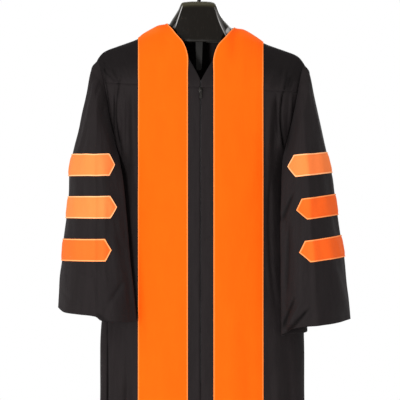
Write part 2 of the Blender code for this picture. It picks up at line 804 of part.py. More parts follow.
def column_where(grid, direction, x, z):
    """The column number, going round one way from the outer edge, that is x from the centre."""
    low = 0.0
    high = direction * SLEEVE_COLUMNS / 2
    for _ in range(30):
        middle = (low + high) / 2
        if abs(point_on_sleeve(grid, middle, z)[0].x) > x:
            low = middle
        else:
            high = middle
    return (low + high) / 2


def column_after(grid, start, length, z):
    """The column number reached by going back round the sleeve from a column by a length."""
    step = 0.1
    gone = 0.0
    here = point_on_sleeve(grid, start, z)[0]
    while gone < length:
        start -= step
        there = point_on_sleeve(grid, start, z)[0]
        gone += (there - here).length
        here = there
    return start


def bar_band(bar, u, tip):
    """The heights of a bar's upper and lower edge at a column."""
    reach = max(u, 0) / tip
    return mix(bar.outer_top, bar.tip_top, reach) * MM, mix(bar.outer_low, bar.tip_low,
                                                           reach) * MM


def ring_height(grid, ring, u):
    low = math.floor(u)
    heights = [grid[ring][(low + i) % SLEEVE_COLUMNS][0].z for i in (0, 1)]
    return mix(heights[0], heights[1], u - low)


def bar_grid(bar, sleeve):
    """A sleeve bar: a band round the outer sleeve that ends in a point front and back."""
    middle = (bar.tip_top + bar.tip_low) / 2 * MM
    tip = column_where(sleeve, 1, bar.tip_x * MM, middle)
    shoulder = column_where(sleeve, 1, bar.shoulder_x * MM, middle)
    point_length = (bar.shoulder_x - bar.tip_x) * MM
    end = column_after(sleeve, tip, BAR_LENGTH, middle)
    end_shoulder = column_after(sleeve, tip, BAR_LENGTH - point_length, middle)
    halves = [step / 2 for step in range(-SLEEVE_COLUMNS, SLEEVE_COLUMNS + 1)
              if step % 2 == 0 or step > YOKE_ROWS]
    inner = [u for u in halves if end_shoulder + 0.15 < u < shoulder - 0.15]
    stations = [end, end_shoulder] + inner + [shoulder, tip]
    rings = [ring for ring in range(len(sleeve))
             if any(bar_band(bar, u, tip)[1] < ring_height(sleeve, ring, u)
                    < bar_band(bar, u, tip)[0] for u in stations)]
    grid = []
    for ring in ["top"] + rings + ["low"]:
        line = []
        for u in stations:
            top, low = bar_band(bar, u, tip)
            if u in (end, tip):
                z = (top + low) / 2
            elif ring in ("top", "low"):
                z = top if ring == "top" else low
            else:
                z = min(max(ring_height(sleeve, ring, u), low), top)
            line.append(point_on_sleeve(sleeve, u, z))
        grid.append(line)
    return grid


def lay_on(piece, cutter):
    """Trims a piece's back to the cloth below it, with the seam's gap between them."""
    cutter.hide_render = True
    cutter.display_type = "WIRE"
    trim = piece.modifiers.new("Trim", "BOOLEAN")
    trim.operation = "DIFFERENCE"
    trim.object = cutter


def hanger_sections():
    """Top, half depth and skirt at each station, from one end of the hanger to the other."""
    sections = []
    for side in (-1, 1):
        half = []
        for row in HANGER_NECK:
            lean = LEAN * side * ease((row.x - 25) / 55)
            top = row.left_top if side < 0 else row.right_top
            half.append((side * row.x * MM, top * MM - lean, row.half_depth * MM,
                         row.skirt * MM - lean))
        for row in HANGER_SHOULDERS:
            top = ridge_z(side * row.x * MM - GOWN_X) - row.under * MM
            half.append((side * row.x * MM, top, row.half_depth * MM, top - row.drop * MM))
        sections += reversed(half) if side < 0 else half[1:]
    return sections


def hanger_grid():
    """The hanger's shell: an arch with a rounded top and straight skirts at each station."""
    grid = []
    for x, top, radius, skirt in hanger_sections():
        bend = min(radius, HANGER_BEND)
        line = []
        for face in (-1, 1):
            points = []
            for step in range(HANGER_ARC_POINTS):
                turn = math.radians(90 * step / (HANGER_ARC_POINTS - 1))
                y = radius - bend + bend * math.sin(turn)
                z = top - bend * (1 - math.cos(turn))
                out = Vector((0, face * math.sin(turn), math.cos(turn)))
                points.append((Vector((x, face * y, z)), out))
            points.append((Vector((x, face * radius, skirt)), Vector((0, face, 0))))
            line += reversed(points) if face < 0 else points
        grid.append(line)
    return grid


def side_tilted(grid):
    """Leans the hanger's normals down its slopes, so that its wall is even there."""
    for i, line in enumerate(grid):
        before = grid[max(i - 1, 0)]
        after = grid[min(i + 1, len(grid) - 1)]
        for j, (point, normal) in enumerate(line):
            slope = after[j][0] - before[j][0]
            slope.normalize()
            tilted = normal - slope * normal.dot(slope)
            line[j] = (point, tilted.normalized())
    return grid


def hanger_shell(finish, collection):
    grid = side_tilted(hanger_grid())
    moved = [[(p - Vector((GOWN_X, 0, 0)), n) for p, n in line] for line in grid]
    return cloth_wall("hanger_shell", moved, HANGER_WALL, finish, collection, lift=-HANGER_WALL)


def hanger_rib(finish, collection):
    """The flat rib that hangs inside the hanger's neck and ends in a round."""
    outline = bpy.data.curves.new("hanger_rib", "CURVE")
    outline.dimensions = "2D"
    outline.fill_mode = "BOTH"
    outline.extrude = RIB_THICKNESS / 2
    top = HANGER_NECK[0].left_top * MM - HANGER_WALL - SEAM
    points = [(-RIB_HALF_WIDTH, top), (RIB_HALF_WIDTH, top)]
    taper = RIB_HALF_WIDTH * RIB_TAPER
    for step in range(ROUND_STEPS + 1):
        turn = math.radians(180 * step / ROUND_STEPS)
        points.append((taper * math.cos(turn), RIB_LOW_Z + taper - taper * math.sin(turn)))
    closed_line(outline, points)
    item = bpy.data.objects.new("hanger_rib", outline)
    item.rotation_euler = (math.pi / 2, 0, 0)
    outline.materials.append(finish)
    collection.objects.link(item)
    return item


def hook(finish, collection):
    """The wire hook, whose inner top is the origin."""
    wire = HOOK_WIRE / 2
    radius = HOOK_INNER_RADIUS + wire
    centre_z = wire - radius
    path = [(0, HOOK_SEAT_Z + COLLAR_HEIGHT * 0.5), (0, centre_z - radius - 6 * MM),
            (0.6 * MM, centre_z - radius - 2 * MM)]
    for step in range(HOOK_STEPS + 1):
        turn = math.radians(mix(HOOK_START_ANGLE, HOOK_END_ANGLE, step / HOOK_STEPS))
        path.append((radius * math.cos(turn), centre_z + radius * math.sin(turn)))
    end_x, end_z = path[-1]
    path.append((end_x + HOOK_TIP.x, end_z + HOOK_TIP.y))
    curve = bpy.data.curves.new("hook", "CURVE")
    curve.dimensions = "3D"
    curve.bevel_depth = wire
    curve.bevel_resolution = 2
    curve.use_fill_caps = True
    line = curve.splines.new("POLY")
    line.points.add(len(path) - 1)
    for point, (x, z) in zip(line.points, path):
        point.co = (x, 0, z, 1)
    curve.materials.append(finish)
    item = bpy.data.objects.new("hook", curve)
    collection.objects.link(item)
    return item


def turned(name, profile, segments, finish, collection):
    """A turned piece from a profile that runs down its outer side."""
    mesh = bpy.data.meshes.new(name)
    edges = [(i, i + 1) for i in range(len(profile) - 1)]
    mesh.from_pydata([(r, 0, z) for r, z in profile], edges, [])
    item = put(name, mesh, finish, collection)
    screw = item.modifiers.new("Screw", "SCREW")
    screw.steps = segments
    screw.render_steps = segments
    screw.use_merge_vertices = True
    screw.merge_threshold = 0.00001
    return item


def hook_collar(finish, collection):
    """The collar that seats the hook's wire in the hanger's top, open down its middle."""
    bore = HOOK_WIRE / 2 + SEAM
    base = HOOK_SEAT_Z
    top = base + COLLAR_HEIGHT
    profile = [(bore, top), (COLLAR_RADIUS - COLLAR_CHAMFER, top),
               (COLLAR_RADIUS, top - COLLAR_CHAMFER), (COLLAR_RADIUS, base), (bore, base),
               (bore, top)]
    return turned("hook_collar", profile, COLLAR_SIDES, finish, collection)


def box(name, centre, size, finish, collection):
    shape = bmesh.new()
    bmesh.ops.create_cube(shape, size=1.0)
    bmesh.ops.scale(shape, vec=size, verts=shape.verts)
    mesh = bpy.data.meshes.new(name)
    shape.to_mesh(mesh)
    shape.free()
    item = put(name, mesh, finish, collection)
    item.location = centre
    return item


def strip_grid(half, depth, heights):
    """A narrow upright strip that follows the gown's front at a depth behind it."""
    grid = []
    for z in heights:
        y = on_body_at(-1, 1, ZIP_EDGE, z).y
        grid.append([(Vector((x, y + depth, z)), Vector((0, -1, 0))) for x in (-half, half)])
    return grid


def zip_heights():
    rows = [panel_row_z(1, row, 0) for row in range(PANEL_ROW_COUNT + 1)]
    return [YOKE_Z + 16 * MM] + [z for z in rows if z > ZIP_END_Z] + [ZIP_END_Z]


def tape_heights():
    """The tape goes on behind the front edges where they close below the teeth."""
    return zip_heights() + [ZIP_END_Z - 0.035, ZIP_END_Z - 0.07]


def zip_pieces(finishes, collection):
    heights = zip_heights()
    behind = TAPE_THICKNESS + SEAM * 2
    cloth_wall("zip_tape", strip_grid(TAPE_WIDTH / 2, behind, tape_heights()),
               TAPE_THICKNESS, finishes["tape"], collection)
    cloth_wall("zip_chain", strip_grid(CHAIN_WIDTH / 2, -CHAIN_THICKNESS + SEAM, heights),
               CHAIN_THICKNESS, finishes["chain"], collection, lift=-CHAIN_THICKNESS)


def slider_front():
    """The depth of the cloth's outer face where the slider's lower end lies on it."""
    return on_body_at(-1, 1, ZIP_EDGE, SLIDER_Z - SLIDER_HEIGHT / 2).y - CLOTH - SEAM


def tab_axis():
    """The middle of the pull tab's crossbar, under the slider's bridge."""
    face = slider_front() - SEAM - SLIDER_THICKNESS
    return Vector((GOWN_X, face - BRIDGE_STAND, SLIDER_Z))


def joined(name, pieces):
    """Unites overlapping pieces into one closed body with a Boolean."""
    base = pieces[0]
    base.name = name
    for piece in pieces[1:]:
        piece.hide_render = True
        piece.display_type = "WIRE"
        union = base.modifiers.new("Union", "BOOLEAN")
        union.operation = "UNION"
        union.object = piece
    return base


def slider(finish, collection, guides):
    """The slider's plate with the upright bridge that holds the pull tab's crossbar."""
    axis = tab_axis()
    middle_y = slider_front() - SEAM - SLIDER_THICKNESS / 2
    pieces = [box("zip_slider", (GOWN_X, middle_y, SLIDER_Z),
                  (SLIDER_WIDTH, SLIDER_THICKNESS, SLIDER_HEIGHT), finish, collection)]
    bridge_y = axis.y - BRIDGE_STAND - BRIDGE_BAR / 2
    leg_depth = middle_y - bridge_y
    for way in (-1, 1):
        leg_z = axis.z + way * (BRIDGE_HEIGHT - BRIDGE_BAR) / 2
        pieces.append(box(f"bridge_leg_{way}", (GOWN_X, (bridge_y + middle_y) / 2, leg_z),
                          (BRIDGE_WIDTH, leg_depth, BRIDGE_BAR), finish, guides))
    pieces.append(box("bridge_bar", (GOWN_X, bridge_y, axis.z),
                      (BRIDGE_WIDTH, BRIDGE_BAR, BRIDGE_HEIGHT), finish, guides))
    return joined("zip_slider", pieces)


def closed_line(outline, points):
    line = outline.splines.new("POLY")
    line.points.add(len(points) - 1)
    for point, (x, y) in zip(line.points, points):
        point.co = (x, y, 0, 1)
    line.use_cyclic_u = True


def pull_tab(finish, collection):
    """The pull tab: a plate whose crossbar lies under the bridge, which its eye clears."""
    outline = bpy.data.curves.new("pull_tab", "CURVE")
    outline.dimensions = "2D"
    outline.fill_mode = "BOTH"
    outline.extrude = TAB_THICKNESS / 2
    outline.materials.append(finish)
    half, top = TAB_WIDTH / 2, TAB_CROSSBAR / 2
    low = top - TAB_LENGTH
    round_end = []
    for step in range(ROUND_STEPS + 1):
        turn = math.radians(180 * step / ROUND_STEPS)
        round_end.append((half * math.cos(turn), low + half - half * math.sin(turn)))
    closed_line(outline, [(-half, top), (half, top)] + round_end)
    eye = TAB_EYE_WIDTH / 2
    closed_line(outline, [(-eye, -top), (eye, -top), (eye, -TAB_EYE_END), (-eye, -TAB_EYE_END)])
    item = bpy.data.objects.new("pull_tab", outline)
    item.rotation_euler = (math.pi / 2, 0, 0)
    item.location = tab_axis()
    collection.objects.link(item)
    return item


def main():
    for item in list(bpy.data.objects):
        bpy.data.objects.remove(item, do_unlink=True)
    gown = bpy.data.collections.new("graduation_gown")
    guides = bpy.data.collections.new("guides")
    for group in (gown, guides):
        bpy.context.scene.collection.children.link(group)

    black = material("black_cloth", (0.012, 0.012, 0.014), 0.78)
    velvet = material("orange_velvet", (0.86, 0.17, 0.015), 0.85)
    bars = material("bar_velvet", (0.88, 0.27, 0.09), 0.85)
    plastic = material("black_plastic", (0.006, 0.006, 0.007), 0.18)
    steel = material("hook_steel", (0.55, 0.55, 0.56), 0.25, 1.0)
    tape = material("zip_tape", (0.01, 0.01, 0.012), 0.8)
    chain = material("zip_teeth", (0.015, 0.015, 0.017), 0.45)
    metal = material("zip_metal", (0.32, 0.30, 0.28), 0.3, 1.0)

    for side, word in ((-1, "left"), (1, "right")):
        surface, columns = front_surface(side)
        panel = inset_edges(sample(surface, columns, PANEL_ROW_COUNT, inside_body), SEAM)
        cloth_wall(f"front_{word}", panel, CLOTH, black, gown)
        yoke = inset_edges(sample(yoke_front_surface(side), YOKE_COLUMNS, YOKE_ROWS,
                                  inside_body), SEAM)
        cloth_wall(f"yoke_front_{word}", yoke, CLOTH, black, gown)
        facing, width = velvet_surface(side)
        strip = inset_edges(sample(facing, width, YOKE_ROWS + PANEL_ROW_COUNT, inside_body),
                            SEAM)
        for line in strip[:YOKE_ROWS]:
            line[:] = [(p + n * YOKE_LIFT, n) for p, n in line]
        cloth_wall(f"velvet_{word}", strip, VELVET, velvet, gown, lift=CLOTH + LIFT)
        sleeve = sleeve_grid(side)
        cloth_wall(f"sleeve_{word}", sleeve, CLOTH, black, gown, tube=True)
        cutter = cloth_wall(f"under_bars_{word}", sleeve, UNDER_BARS + CLOTH + SEAM, black,
                            guides, lift=-UNDER_BARS, tube=True)
        own_bars = [bar for bar in SLEEVE_BARS if bar.side == side]
        for number, bar in enumerate(own_bars, 1):
            strip = cloth_wall(f"bar_{word}_{number}", bar_grid(bar, sleeve), BAR_STANDS,
                               bars, gown, lift=CLOTH)
            lay_on(strip, cutter)

    yoke = inset_edges(sample(yoke_back_surface, 2 * len(BACK_YOKE_X) - 2, YOKE_ROWS,
                              inside_body), SEAM)
    cloth_wall("yoke_back", yoke, CLOTH, black, gown)
    back = inset_edges(sample(back_surface, BACK_COLUMNS, PANEL_ROW_COUNT, inside_body), SEAM)
    cloth_wall("back", back, CLOTH, black, gown)
    cloth_wall("velvet_neck_back", velvet_neck_grid(yoke), VELVET, velvet, gown,
               lift=CLOTH + LIFT + YOKE_LIFT)

    hanger_shell(plastic, gown)
    hanger_rib(plastic, gown)
    hook(steel, gown)
    hook_collar(steel, gown)
    zip_pieces({"tape": tape, "chain": chain}, gown)
    slider(metal, gown, guides)
    pull_tab(metal, gown)


main()
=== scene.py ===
"""A graduation gown with velvet facings and sleeve bars, hung on a moulded hanger."""
import math
from collections import namedtuple

import bmesh
import bpy
import numpy as np
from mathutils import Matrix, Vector


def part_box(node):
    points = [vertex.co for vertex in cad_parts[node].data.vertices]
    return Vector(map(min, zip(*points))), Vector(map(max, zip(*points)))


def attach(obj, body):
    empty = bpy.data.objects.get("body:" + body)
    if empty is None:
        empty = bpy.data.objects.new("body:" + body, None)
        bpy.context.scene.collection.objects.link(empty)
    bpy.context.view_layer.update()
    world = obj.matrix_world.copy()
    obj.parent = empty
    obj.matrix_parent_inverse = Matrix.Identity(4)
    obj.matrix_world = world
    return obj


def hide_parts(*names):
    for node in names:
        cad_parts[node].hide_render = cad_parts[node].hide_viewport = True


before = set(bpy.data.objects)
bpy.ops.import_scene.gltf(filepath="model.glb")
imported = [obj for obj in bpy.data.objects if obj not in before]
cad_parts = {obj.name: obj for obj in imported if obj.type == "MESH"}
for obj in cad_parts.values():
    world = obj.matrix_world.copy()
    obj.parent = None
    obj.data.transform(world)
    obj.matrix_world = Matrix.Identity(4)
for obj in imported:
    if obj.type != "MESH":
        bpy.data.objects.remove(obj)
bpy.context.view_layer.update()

MM = 0.001

# The gown's own sizes, in metres, as it was modelled
CLOTH = 2.0 * MM
SHELL = 1.1 * MM            # how thick the dressed cloth is
GOWN_X = 4.0 * MM           # the gown's middle, where the hook's is 0
LEAN = 5.0 * MM             # how much lower its right shoulder is, and higher its left
SIDE_SHIFT = 4.0 * MM
ROUNDNESS = 2.2             # the power of the body's rounded section
SHOULDER_ARCH = 110 * MM    # how far down the body's depth grows from the shoulder line
HEM_Z = -1.425
FLOOR_Z = -1.62
UNDERARM_Z = -0.470
YOKE_Z = -0.2795
YOKE_SLOPE = 0.05
ZIP_EDGE = 3.4 * MM         # where the cut edges lie; their folds come nearer the teeth
ZIP_FOLD = 1.1 * MM
TEETH_PITCH = 1.5 * MM
ZIP_END_Z = -0.975
VELVET_INNER = 31 * MM
VELVET_OUTER = 152 * MM
TIP_Z = -0.215
YOKE_DROP = 0.22            # the share of the armhole's height above the yoke seam
BACK_NECK_Z = -0.134
YOKE_ROWS = 6
ARMHOLE_ROWS = 6
ROUNDS = 4                  # of a search that closes in on a value
VELVET_NECK_WIDTH = 70 * MM
VELVET_ON_SEAMS = 1.2 * MM  # how much higher it lies over the yoke's seam allowances
FRONT_INSIDE = np.array([0, 0.3, -0.7])     # lies behind every piece of the front
BACK_INSIDE = np.array([0, -0.3, -0.7])     # and this in front of every piece of the back


def table(columns, rows):
    """Rows with named columns."""
    row_type = namedtuple("Row", columns)
    return [row_type(*row) for row in rows]


# Heights and distances in the tables are in millimetres, angles in degrees
BODY_LEVELS = table("z half_width front back", [
    (-100, 256, 48, 50), (-160, 256, 57, 60), (-210, 256, 67, 73), (-260, 252, 76, 82),
    (-314, 245, 84, 88), (-360, 235, 88, 91), (-414, 220, 91, 94), (-470, 205, 92, 96),
    (-550, 207, 93, 98), (-650, 214, 95, 101), (-750, 227, 97, 105), (-860, 246, 100, 110),
    (-1050, 249, 107, 120), (-1425, 262, 118, 136),
])
SHOULDER_RIDGE = table("x z", [
    (0, -60), (30, -66), (60, -94), (80, -128), (105, -136.5), (128, -149), (155, -166),
    (185, -177.5), (205, -184.5), (237, -198), (252, -216), (262, -240),
])
ARMHOLE = table("drop x", [
    (0.00, 252.0), (0.08, 244.0), (0.20, 236.0), (0.40, 227.0), (0.60, 217.0),
    (0.80, 205.5), (0.93, 201.5), (1.00, 205.0),
])
NECKLINE = table("row x z velvet_x velvet_z", [
    (0, 80.0, -128, 80.0, -128), (1, 69.0, -139, 69.0, -139), (2, 58.0, -154, 58.0, -154),
    (3, 41.0, -175, 41.0, -175), (4, 31.0, -206, 31.0, -206), (5, 3.4, -262, 31.0, -244),
    (6, 3.4, -279.5, 31.0, -279.5),
])
BACK_YOKE_FALL = table("row share", [
    (0, 0), (1, 0.034), (2, 0.125), (3, 0.265), (4, 0.45), (5, 0.72), (6, 1),
])
VELVET_NECK_ENDS = table("x row", [
    (0, 4), (80, 4), (100, 4), (122, 3.7), (140, 3), (152, 2),
])
FRONT_FOLDS = table("side x_top x_low z_top z_low width depth", [
    (-1, 182, 176, -285, -470, 14, -5), (-1, 168, 158, -285, -560, 12, 4),
    (1, 186, 176, -295, -470, 14, -6), (1, 170, 164, -300, -560, 12, 4),
    (-1, 224, 230, -860, -1425, 17, -13), (-1, 196, 200, -840, -1425, 18, 8),
    (-1, 176, 178, -840, -1425, 14, -6), (1, 186, 190, -860, -1425, 20, 8),
    (1, 214, 222, -860, -1425, 18, -11), (-1, 92, 100, -820, -1425, 40, 4),
    (1, 84, 78, -700, -1425, 40, 5),
])
BACK_FLUTES = table("angle width seam hem", [
    (-66, 8.5, 8, 24), (-51, 8.5, 12, 31), (-36, 8.0, 13, 28), (-22, 7.5, 12, 33),
    (-8, 7.0, 14, 29), (6, 7.0, 13, 32), (19, 7.5, 12, 28), (33, 8.0, 13, 33),
    (48, 8.5, 12, 29), (64, 8.5, 8, 25),
])
SLEEVE_COLUMNS = "z outer inner centre half_depth skew"
SLEEVES = {
    -1: table(SLEEVE_COLUMNS, [
        (-212, 254, 246, 0, 10, 0), (-235, 267, 240, -2, 26, 0),
        (-292, 278, 229, -8, 52, 4), (-340, 289, 220, -12, 68, 10),
        (-385, 298, 210, -17, 80, 18), (-431, 310, 203, -22, 90, 26),
        (-480, 320, 194, -26, 97, 34), (-540, 322, 187, -29, 102, 38),
        (-600, 328, 182, -30, 105, 40), (-650, 335, 178, -31, 108, 41),
        (-703, 339, 173.5, -32, 110, 42), (-740, 344, 169, -33, 112, 43),
        (-787, 346, 164.5, -34, 114, 44), (-860, 351, 156, -35, 116, 45),
    ]),
    1: table(SLEEVE_COLUMNS, [
        (-217, 254, 246, 0, 10, 0), (-244, 265, 236, -2, 26, 0),
        (-297, 276, 219, -8, 52, 4), (-340, 286, 213, -12, 68, 10),
        (-385, 296, 207, -17, 80, 18), (-431, 306, 202, -22, 90, 26),
        (-497, 322, 198, -27, 98, 34), (-537, 327, 197, -29, 102, 38),
        (-590, 334, 196, -30, 105, 40), (-640, 341, 196, -31, 108, 41),
        (-694, 350, 196, -32, 110, 42), (-762, 357, 196, -33, 112, 43),
        (-799, 362, 196, -34, 114, 44), (-890, 370, 197, -35, 116, 45),
    ]),
}
CUFF_Z = dict(zip((-1, 1), table("outer inner", [(-820, -851), (-847, -882)])))
SLEEVE_CLEAR = 12 * MM
# The sleeve's inner front falls gently to a crisp fold, then turns under
SLEEVE_CORNER = table("degrees across deep", [
    (90, 0.0, 1.0), (105, -0.30, 0.828), (120, -0.58, 0.625), (134, -0.80, 0.44),
    (145, -0.94, 0.32), (152, -1.0, 0.255), (160, -0.985, 0.16), (170, -0.95, 0.06),
    (180, -0.91, 0.0),
])
CUFF_DIPS = {
    -1: table("inward rise", [
        (0, 3), (0.06, -4), (0.14, -5), (0.5, -1), (0.56, -9), (0.8, -5), (1.0, 4),
    ]),
    1: table("inward rise", [
        (0, 2), (0.22, 2), (0.5, 6), (0.69, 9), (0.85, 5), (1.0, -3),
    ]),
}
SLEEVE_FOLDS = table("side angle width depth start", [
    (-1, 120, 26, 9, 0.25), (-1, 88, 20, -8, 0.35), (-1, 300, 26, -10, 0.30),
    (-1, 265, 24, 9, 0.30), (1, 118, 22, 8, 0.30), (1, 142, 18, -4, 0.45),
    (1, 298, 26, -9, 0.30), (1, 262, 24, 9, 0.35),
])
BAR_LENGTH = 285 * MM
BAR_HEIGHT = 56 * MM
BAR_FACE = 54 * MM          # inside its piping
# pale says how much painted sheen a bar's velvet takes, in lit copies of one velvet
SLEEVE_BARS = table("side outer_top outer_low tip_top tip_low tip_x shoulder_x lean pale", [
    (-1, -442, -496, -442, -496, 211, 224, 0.08, 1.0),
    (-1, -545, -599, -544, -599, 205, 220, 0, 0.8),
    (-1, -649, -703, -648, -703, 216, 231, 0, 0.5),
    (1, -437, -488, -446, -501, 213, 230, 0.06, 0.8),
    (1, -539, -591, -553, -605, 233, 252, 0.24, 0.3),
    (1, -640, -694, -655, -708, 240, 260, 0.20, 0.3),
])
HANGER_NECK = table("x left_top right_top half_depth skirt", [
    (0, -66.6, -66.6, 33, -167), (20, -66.9, -66.9, 33, -167), (33, -68.2, -68.4, 32, -167),
    (40, -70.3, -71.6, 31.4, -167), (44, -74.0, -77.5, 31, -167),
    (47.5, -81.5, -86, 30.5, -167), (50, -88, -92, 30.2, -167.5),
    (54, -95.5, -99.5, 30, -168), (61, -107.5, -109, 28, -170),
    (66, -115.5, -114, 25.8, -171.3), (70, -122.5, -117.5, 23.8, -172.2),
    (77, -133, -125, 20.8, -174), (84, -137.0, -132.5, 19.5, -175),
    (92, -141, -138, 18.5, -176),
])
HANGER_SHOULDERS = table("x under half_depth drop", [
    (104, 3.8, 18, 36), (130, 2.8, 15, 35), (160, 1.8, 12.5, 33), (190, 1.8, 10, 29),
    (212, 2.0, 7.5, 23), (224, 3.0, 5, 16),
])
HANGER_WALL = 2.4 * MM
HANGER_BEND = 22 * MM
SLIDER_Z = -0.2862

# Creases: a line from one end to the other, its bow, half width and depth (+ stands out)
CREASE = "x_0 z_0 x_1 z_1 bow width depth"
FRONT_CREASES = table(CREASE, [
    (-194, -252, -193, -430, 12, 4.2, -6), (-236, -218, -222, -341, 0, 3.4, -4.5),
    (-222, -341, -204, -425, 0, 3.4, -5), (-211, -296, -212, -387, 0, 3.9, -4.5),
    (-203, -260, -201, -380, 2, 6.1, 3.5), (-181, -270, -188, -436, 2, 7.4, 2),
    (-170, -284, -173, -485, 0, 7.4, -1.6), (204, -279, 209, -440, 12, 5.4, -8),
    (193, -284, 197, -436, 5, 6.4, 4), (182, -294, 187, -397, 0, 5.4, -2.5),
    (221, -284, 214, -412, 0, 7.4, 3), (4, -290, 20, -284, 0, 3.2, -1.2),
    (3, -353, 18, -341, 0, 3.7, -1.2), (1, -478, 15, -473, 0, 3.4, -1.0),
    (-12, -566, -26, -561, 0, 3.4, -0.8), (6, -652, 25, -642, 0, 4.9, -1.0),
    (170, -505, 180, -799, 7, 10.2, -3), (-173, -480, -163, -799, -5, 12.2, 1.5),
    (-227, -226, -198, -257, 0, 14.7, -3), (-190, -221, -173, -265, 0, 9.8, 2),
    (202, -230, 189, -284, 0, 9.8, -2.5), (221, -250, 207, -289, 0, 7.4, -3),
    (175, -245, 165, -284, 0, 9.8, 1.5), (-227.6, -812, -229, -1480, 0, 4.6, -9),
    (-216, -850, -222, -1480, 0, 9.0, 3.5), (-232, -242, -206, -268, 0, 5.5, -2.5),
    (-216, -232, -196, -276, 0, 5.0, -2.2), (-207, -226, -188, -262, 0, 5.5, 1.8),
    (228, -256, 214, -292, 0, 5.0, -3.0), (212, -240, 203, -286, 0, 5.0, -2.6),
    (196, -248, 186, -292, 0, 5.0, 2.0),
])
SLEEVE_CREASES = table(CREASE, [
    (-264, -240, -237, -341, -17, 12.2, -4), (-236, -218, -222, -341, 0, 3.4, -4.5),
    (-222, -341, -204, -425, 0, 3.4, -5), (-188, -752, -234, -826, 0, 9.8, -5),
    (-203, -789, -247, -831, 0, 9.8, 3), (-293, -728, -254, -735, 0, 9.8, -3),
    (-222, -431, -193, -566, 0, 14.7, 2), (-340, -774, -296, -814, 0, 14.7, -2),
    (-301, -353, -320, -706, 0, 29.4, 3), (-259, -382, -247, -706, 0, 24.5, -3),
    (-227, -554, -217, -774, 0, 17.2, -2.5), (-252, -828, -217, -858, 0, 7.4, -3),
    (260, -818, 207, -877, 0, 7.4, -6), (226, -792, 200, -865, 0, 7.4, -5),
    (243, -799, 214, -867, 0, 8.6, 4), (224, -539, 197, -605, 0, 7.4, -4),
    (214, -615, 209, -774, 0, 7.4, -3), (226, -289, 210, -431, 0, 7.4, -5),
    (243, -260, 236, -412, 0, 14.7, 3), (268, -358, 297, -799, 0, 34.3, -3),
    (329, -725, 354, -831, 0, 19.6, 3), (256, -480, 243, -799, 0, 19.6, 2),
    (305, -799, 297, -853, 0, 12.2, -2),
])
# The same where the photo doesn't show them
SLEEVE_BACK_CREASES = table(CREASE, [
    (-262, -245, -240, -350, 12, 10, -4), (-238, -260, -228, -390, 0, 8, 3),
    (-210, -700, -250, -820, 0, 12, -4), (-300, -400, -318, -740, 0, 28, 3),
    (-265, -380, -255, -760, 0, 22, -3.5), (-225, -480, -215, -780, 0, 16, 2.5),
    (262, -250, 240, -360, -12, 10, -4), (240, -270, 232, -400, 0, 8, 3),
    (222, -720, 262, -850, 0, 12, -5), (300, -400, 330, -780, 0, 28, 3),
    (268, -380, 285, -800, 0, 24, -3.5), (235, -500, 232, -800, 0, 16, 2.5),
])
BACK_CREASES = table(CREASE, [
    (-200, -250, -170, -276, 0, 10, -2), (190, -252, 168, -284, 0, 10, -2),
    (-60, -232, -40, -276, 0, 12, 1.5), (70, -236, 88, -280, 0, 12, -1.5),
])


def look_up(rows, key, column, at):
    """A smooth curve through a table's column."""
    keys = np.array([getattr(row, key) for row in rows], float)
    values = np.array([getattr(row, column) for row in rows], float)
    if keys[0] > keys[-1]:
        keys, values = keys[::-1], values[::-1]
    last = len(keys) - 1
    at = np.clip(at, keys[0], keys[-1])
    step = np.clip(np.searchsorted(keys, at, side="right") - 1, 0, last - 1)
    low = np.maximum(np.arange(last + 1) - 1, 0)
    high = np.minimum(np.arange(last + 1) + 1, last)
    slopes = (values[high] - values[low]) / (keys[high] - keys[low])
    span = keys[step + 1] - keys[step]
    t = (at - keys[step]) / span
    return ((2 * t ** 3 - 3 * t ** 2 + 1) * values[step]
            + (t ** 3 - 2 * t ** 2 + t) * slopes[step] * span
            + (3 * t ** 2 - 2 * t ** 3) * values[step + 1]
            + (t ** 3 - t ** 2) * slopes[step + 1] * span)


def mix(a, b, t):
    return a + (b - a) * t


def ease(t):
    t = np.clip(t, 0.0, 1.0)
    return t * t * (3 - 2 * t)


def bump(t):
    return np.where(np.abs(t) < 1, 0.5 + 0.5 * np.cos(np.pi * np.clip(t, -1, 1)), 0.0)


def vectors(x, y, z):
    return np.stack(np.broadcast_arrays(x, y, z), axis=-1).astype(float)


def sides_of(x):
    return np.where(np.asarray(x) > 0, 1.0, -1.0)


def ridge_z(x):
    """The height of the shoulder line; the gown hangs a little lower at the right."""
    lean = LEAN * np.minimum(np.abs(x) / 0.08, 1.0) * sides_of(x)
    return look_up(SHOULDER_RIDGE, "x", "z", np.abs(x) / MM) * MM - lean


def half_width(side, z):
    """Half the body's width; below the arms both sides stand a little to the right."""
    low = ease((UNDERARM_Z - z) / 0.3)
    return look_up(BODY_LEVELS, "z", "half_width", z / MM) * MM + side * SIDE_SHIFT * low


def angle_at(x, z):
    """The angle round the body, from its middle, at which a distance x is reached."""
    reach = np.minimum(np.abs(x) / half_width(sides_of(x), z), 1.0)
    return np.arcsin(np.minimum(reach ** (ROUNDNESS / 2), 1.0))


def front_folds(side, x, z):
    out = np.zeros(np.broadcast(x, z).shape)
    for fold in FRONT_FOLDS:
        along = (z / MM - fold.z_top) / (fold.z_low - fold.z_top)
        line = mix(fold.x_top, fold.x_low, np.clip(along, 0.0, 1.0))
        if fold.z_low == HEM_Z / MM:
            strength = ease(along * 2.2)
        else:
            strength = ease(along * 5) * ease((1 - along) * 2)
        here = fold.depth * MM * strength * bump((np.abs(x) / MM - line) / fold.width)
        out += np.where(side == fold.side, here, 0.0)
    return out


def back_flutes(side, angle, z):
    drop = np.clip((YOKE_Z - z) / (YOKE_Z - HEM_Z), 0.0, 1.0)
    start = ease((YOKE_Z - 0.004 - z) / 0.05)
    out = np.zeros(np.broadcast(angle, z).shape)
    for flute in BACK_FLUTES:
        near = (side * np.degrees(angle) - flute.angle) / flute.width
        out += mix(flute.seam, flute.hem, drop ** 0.8) * MM * start * bump(near)
    return out


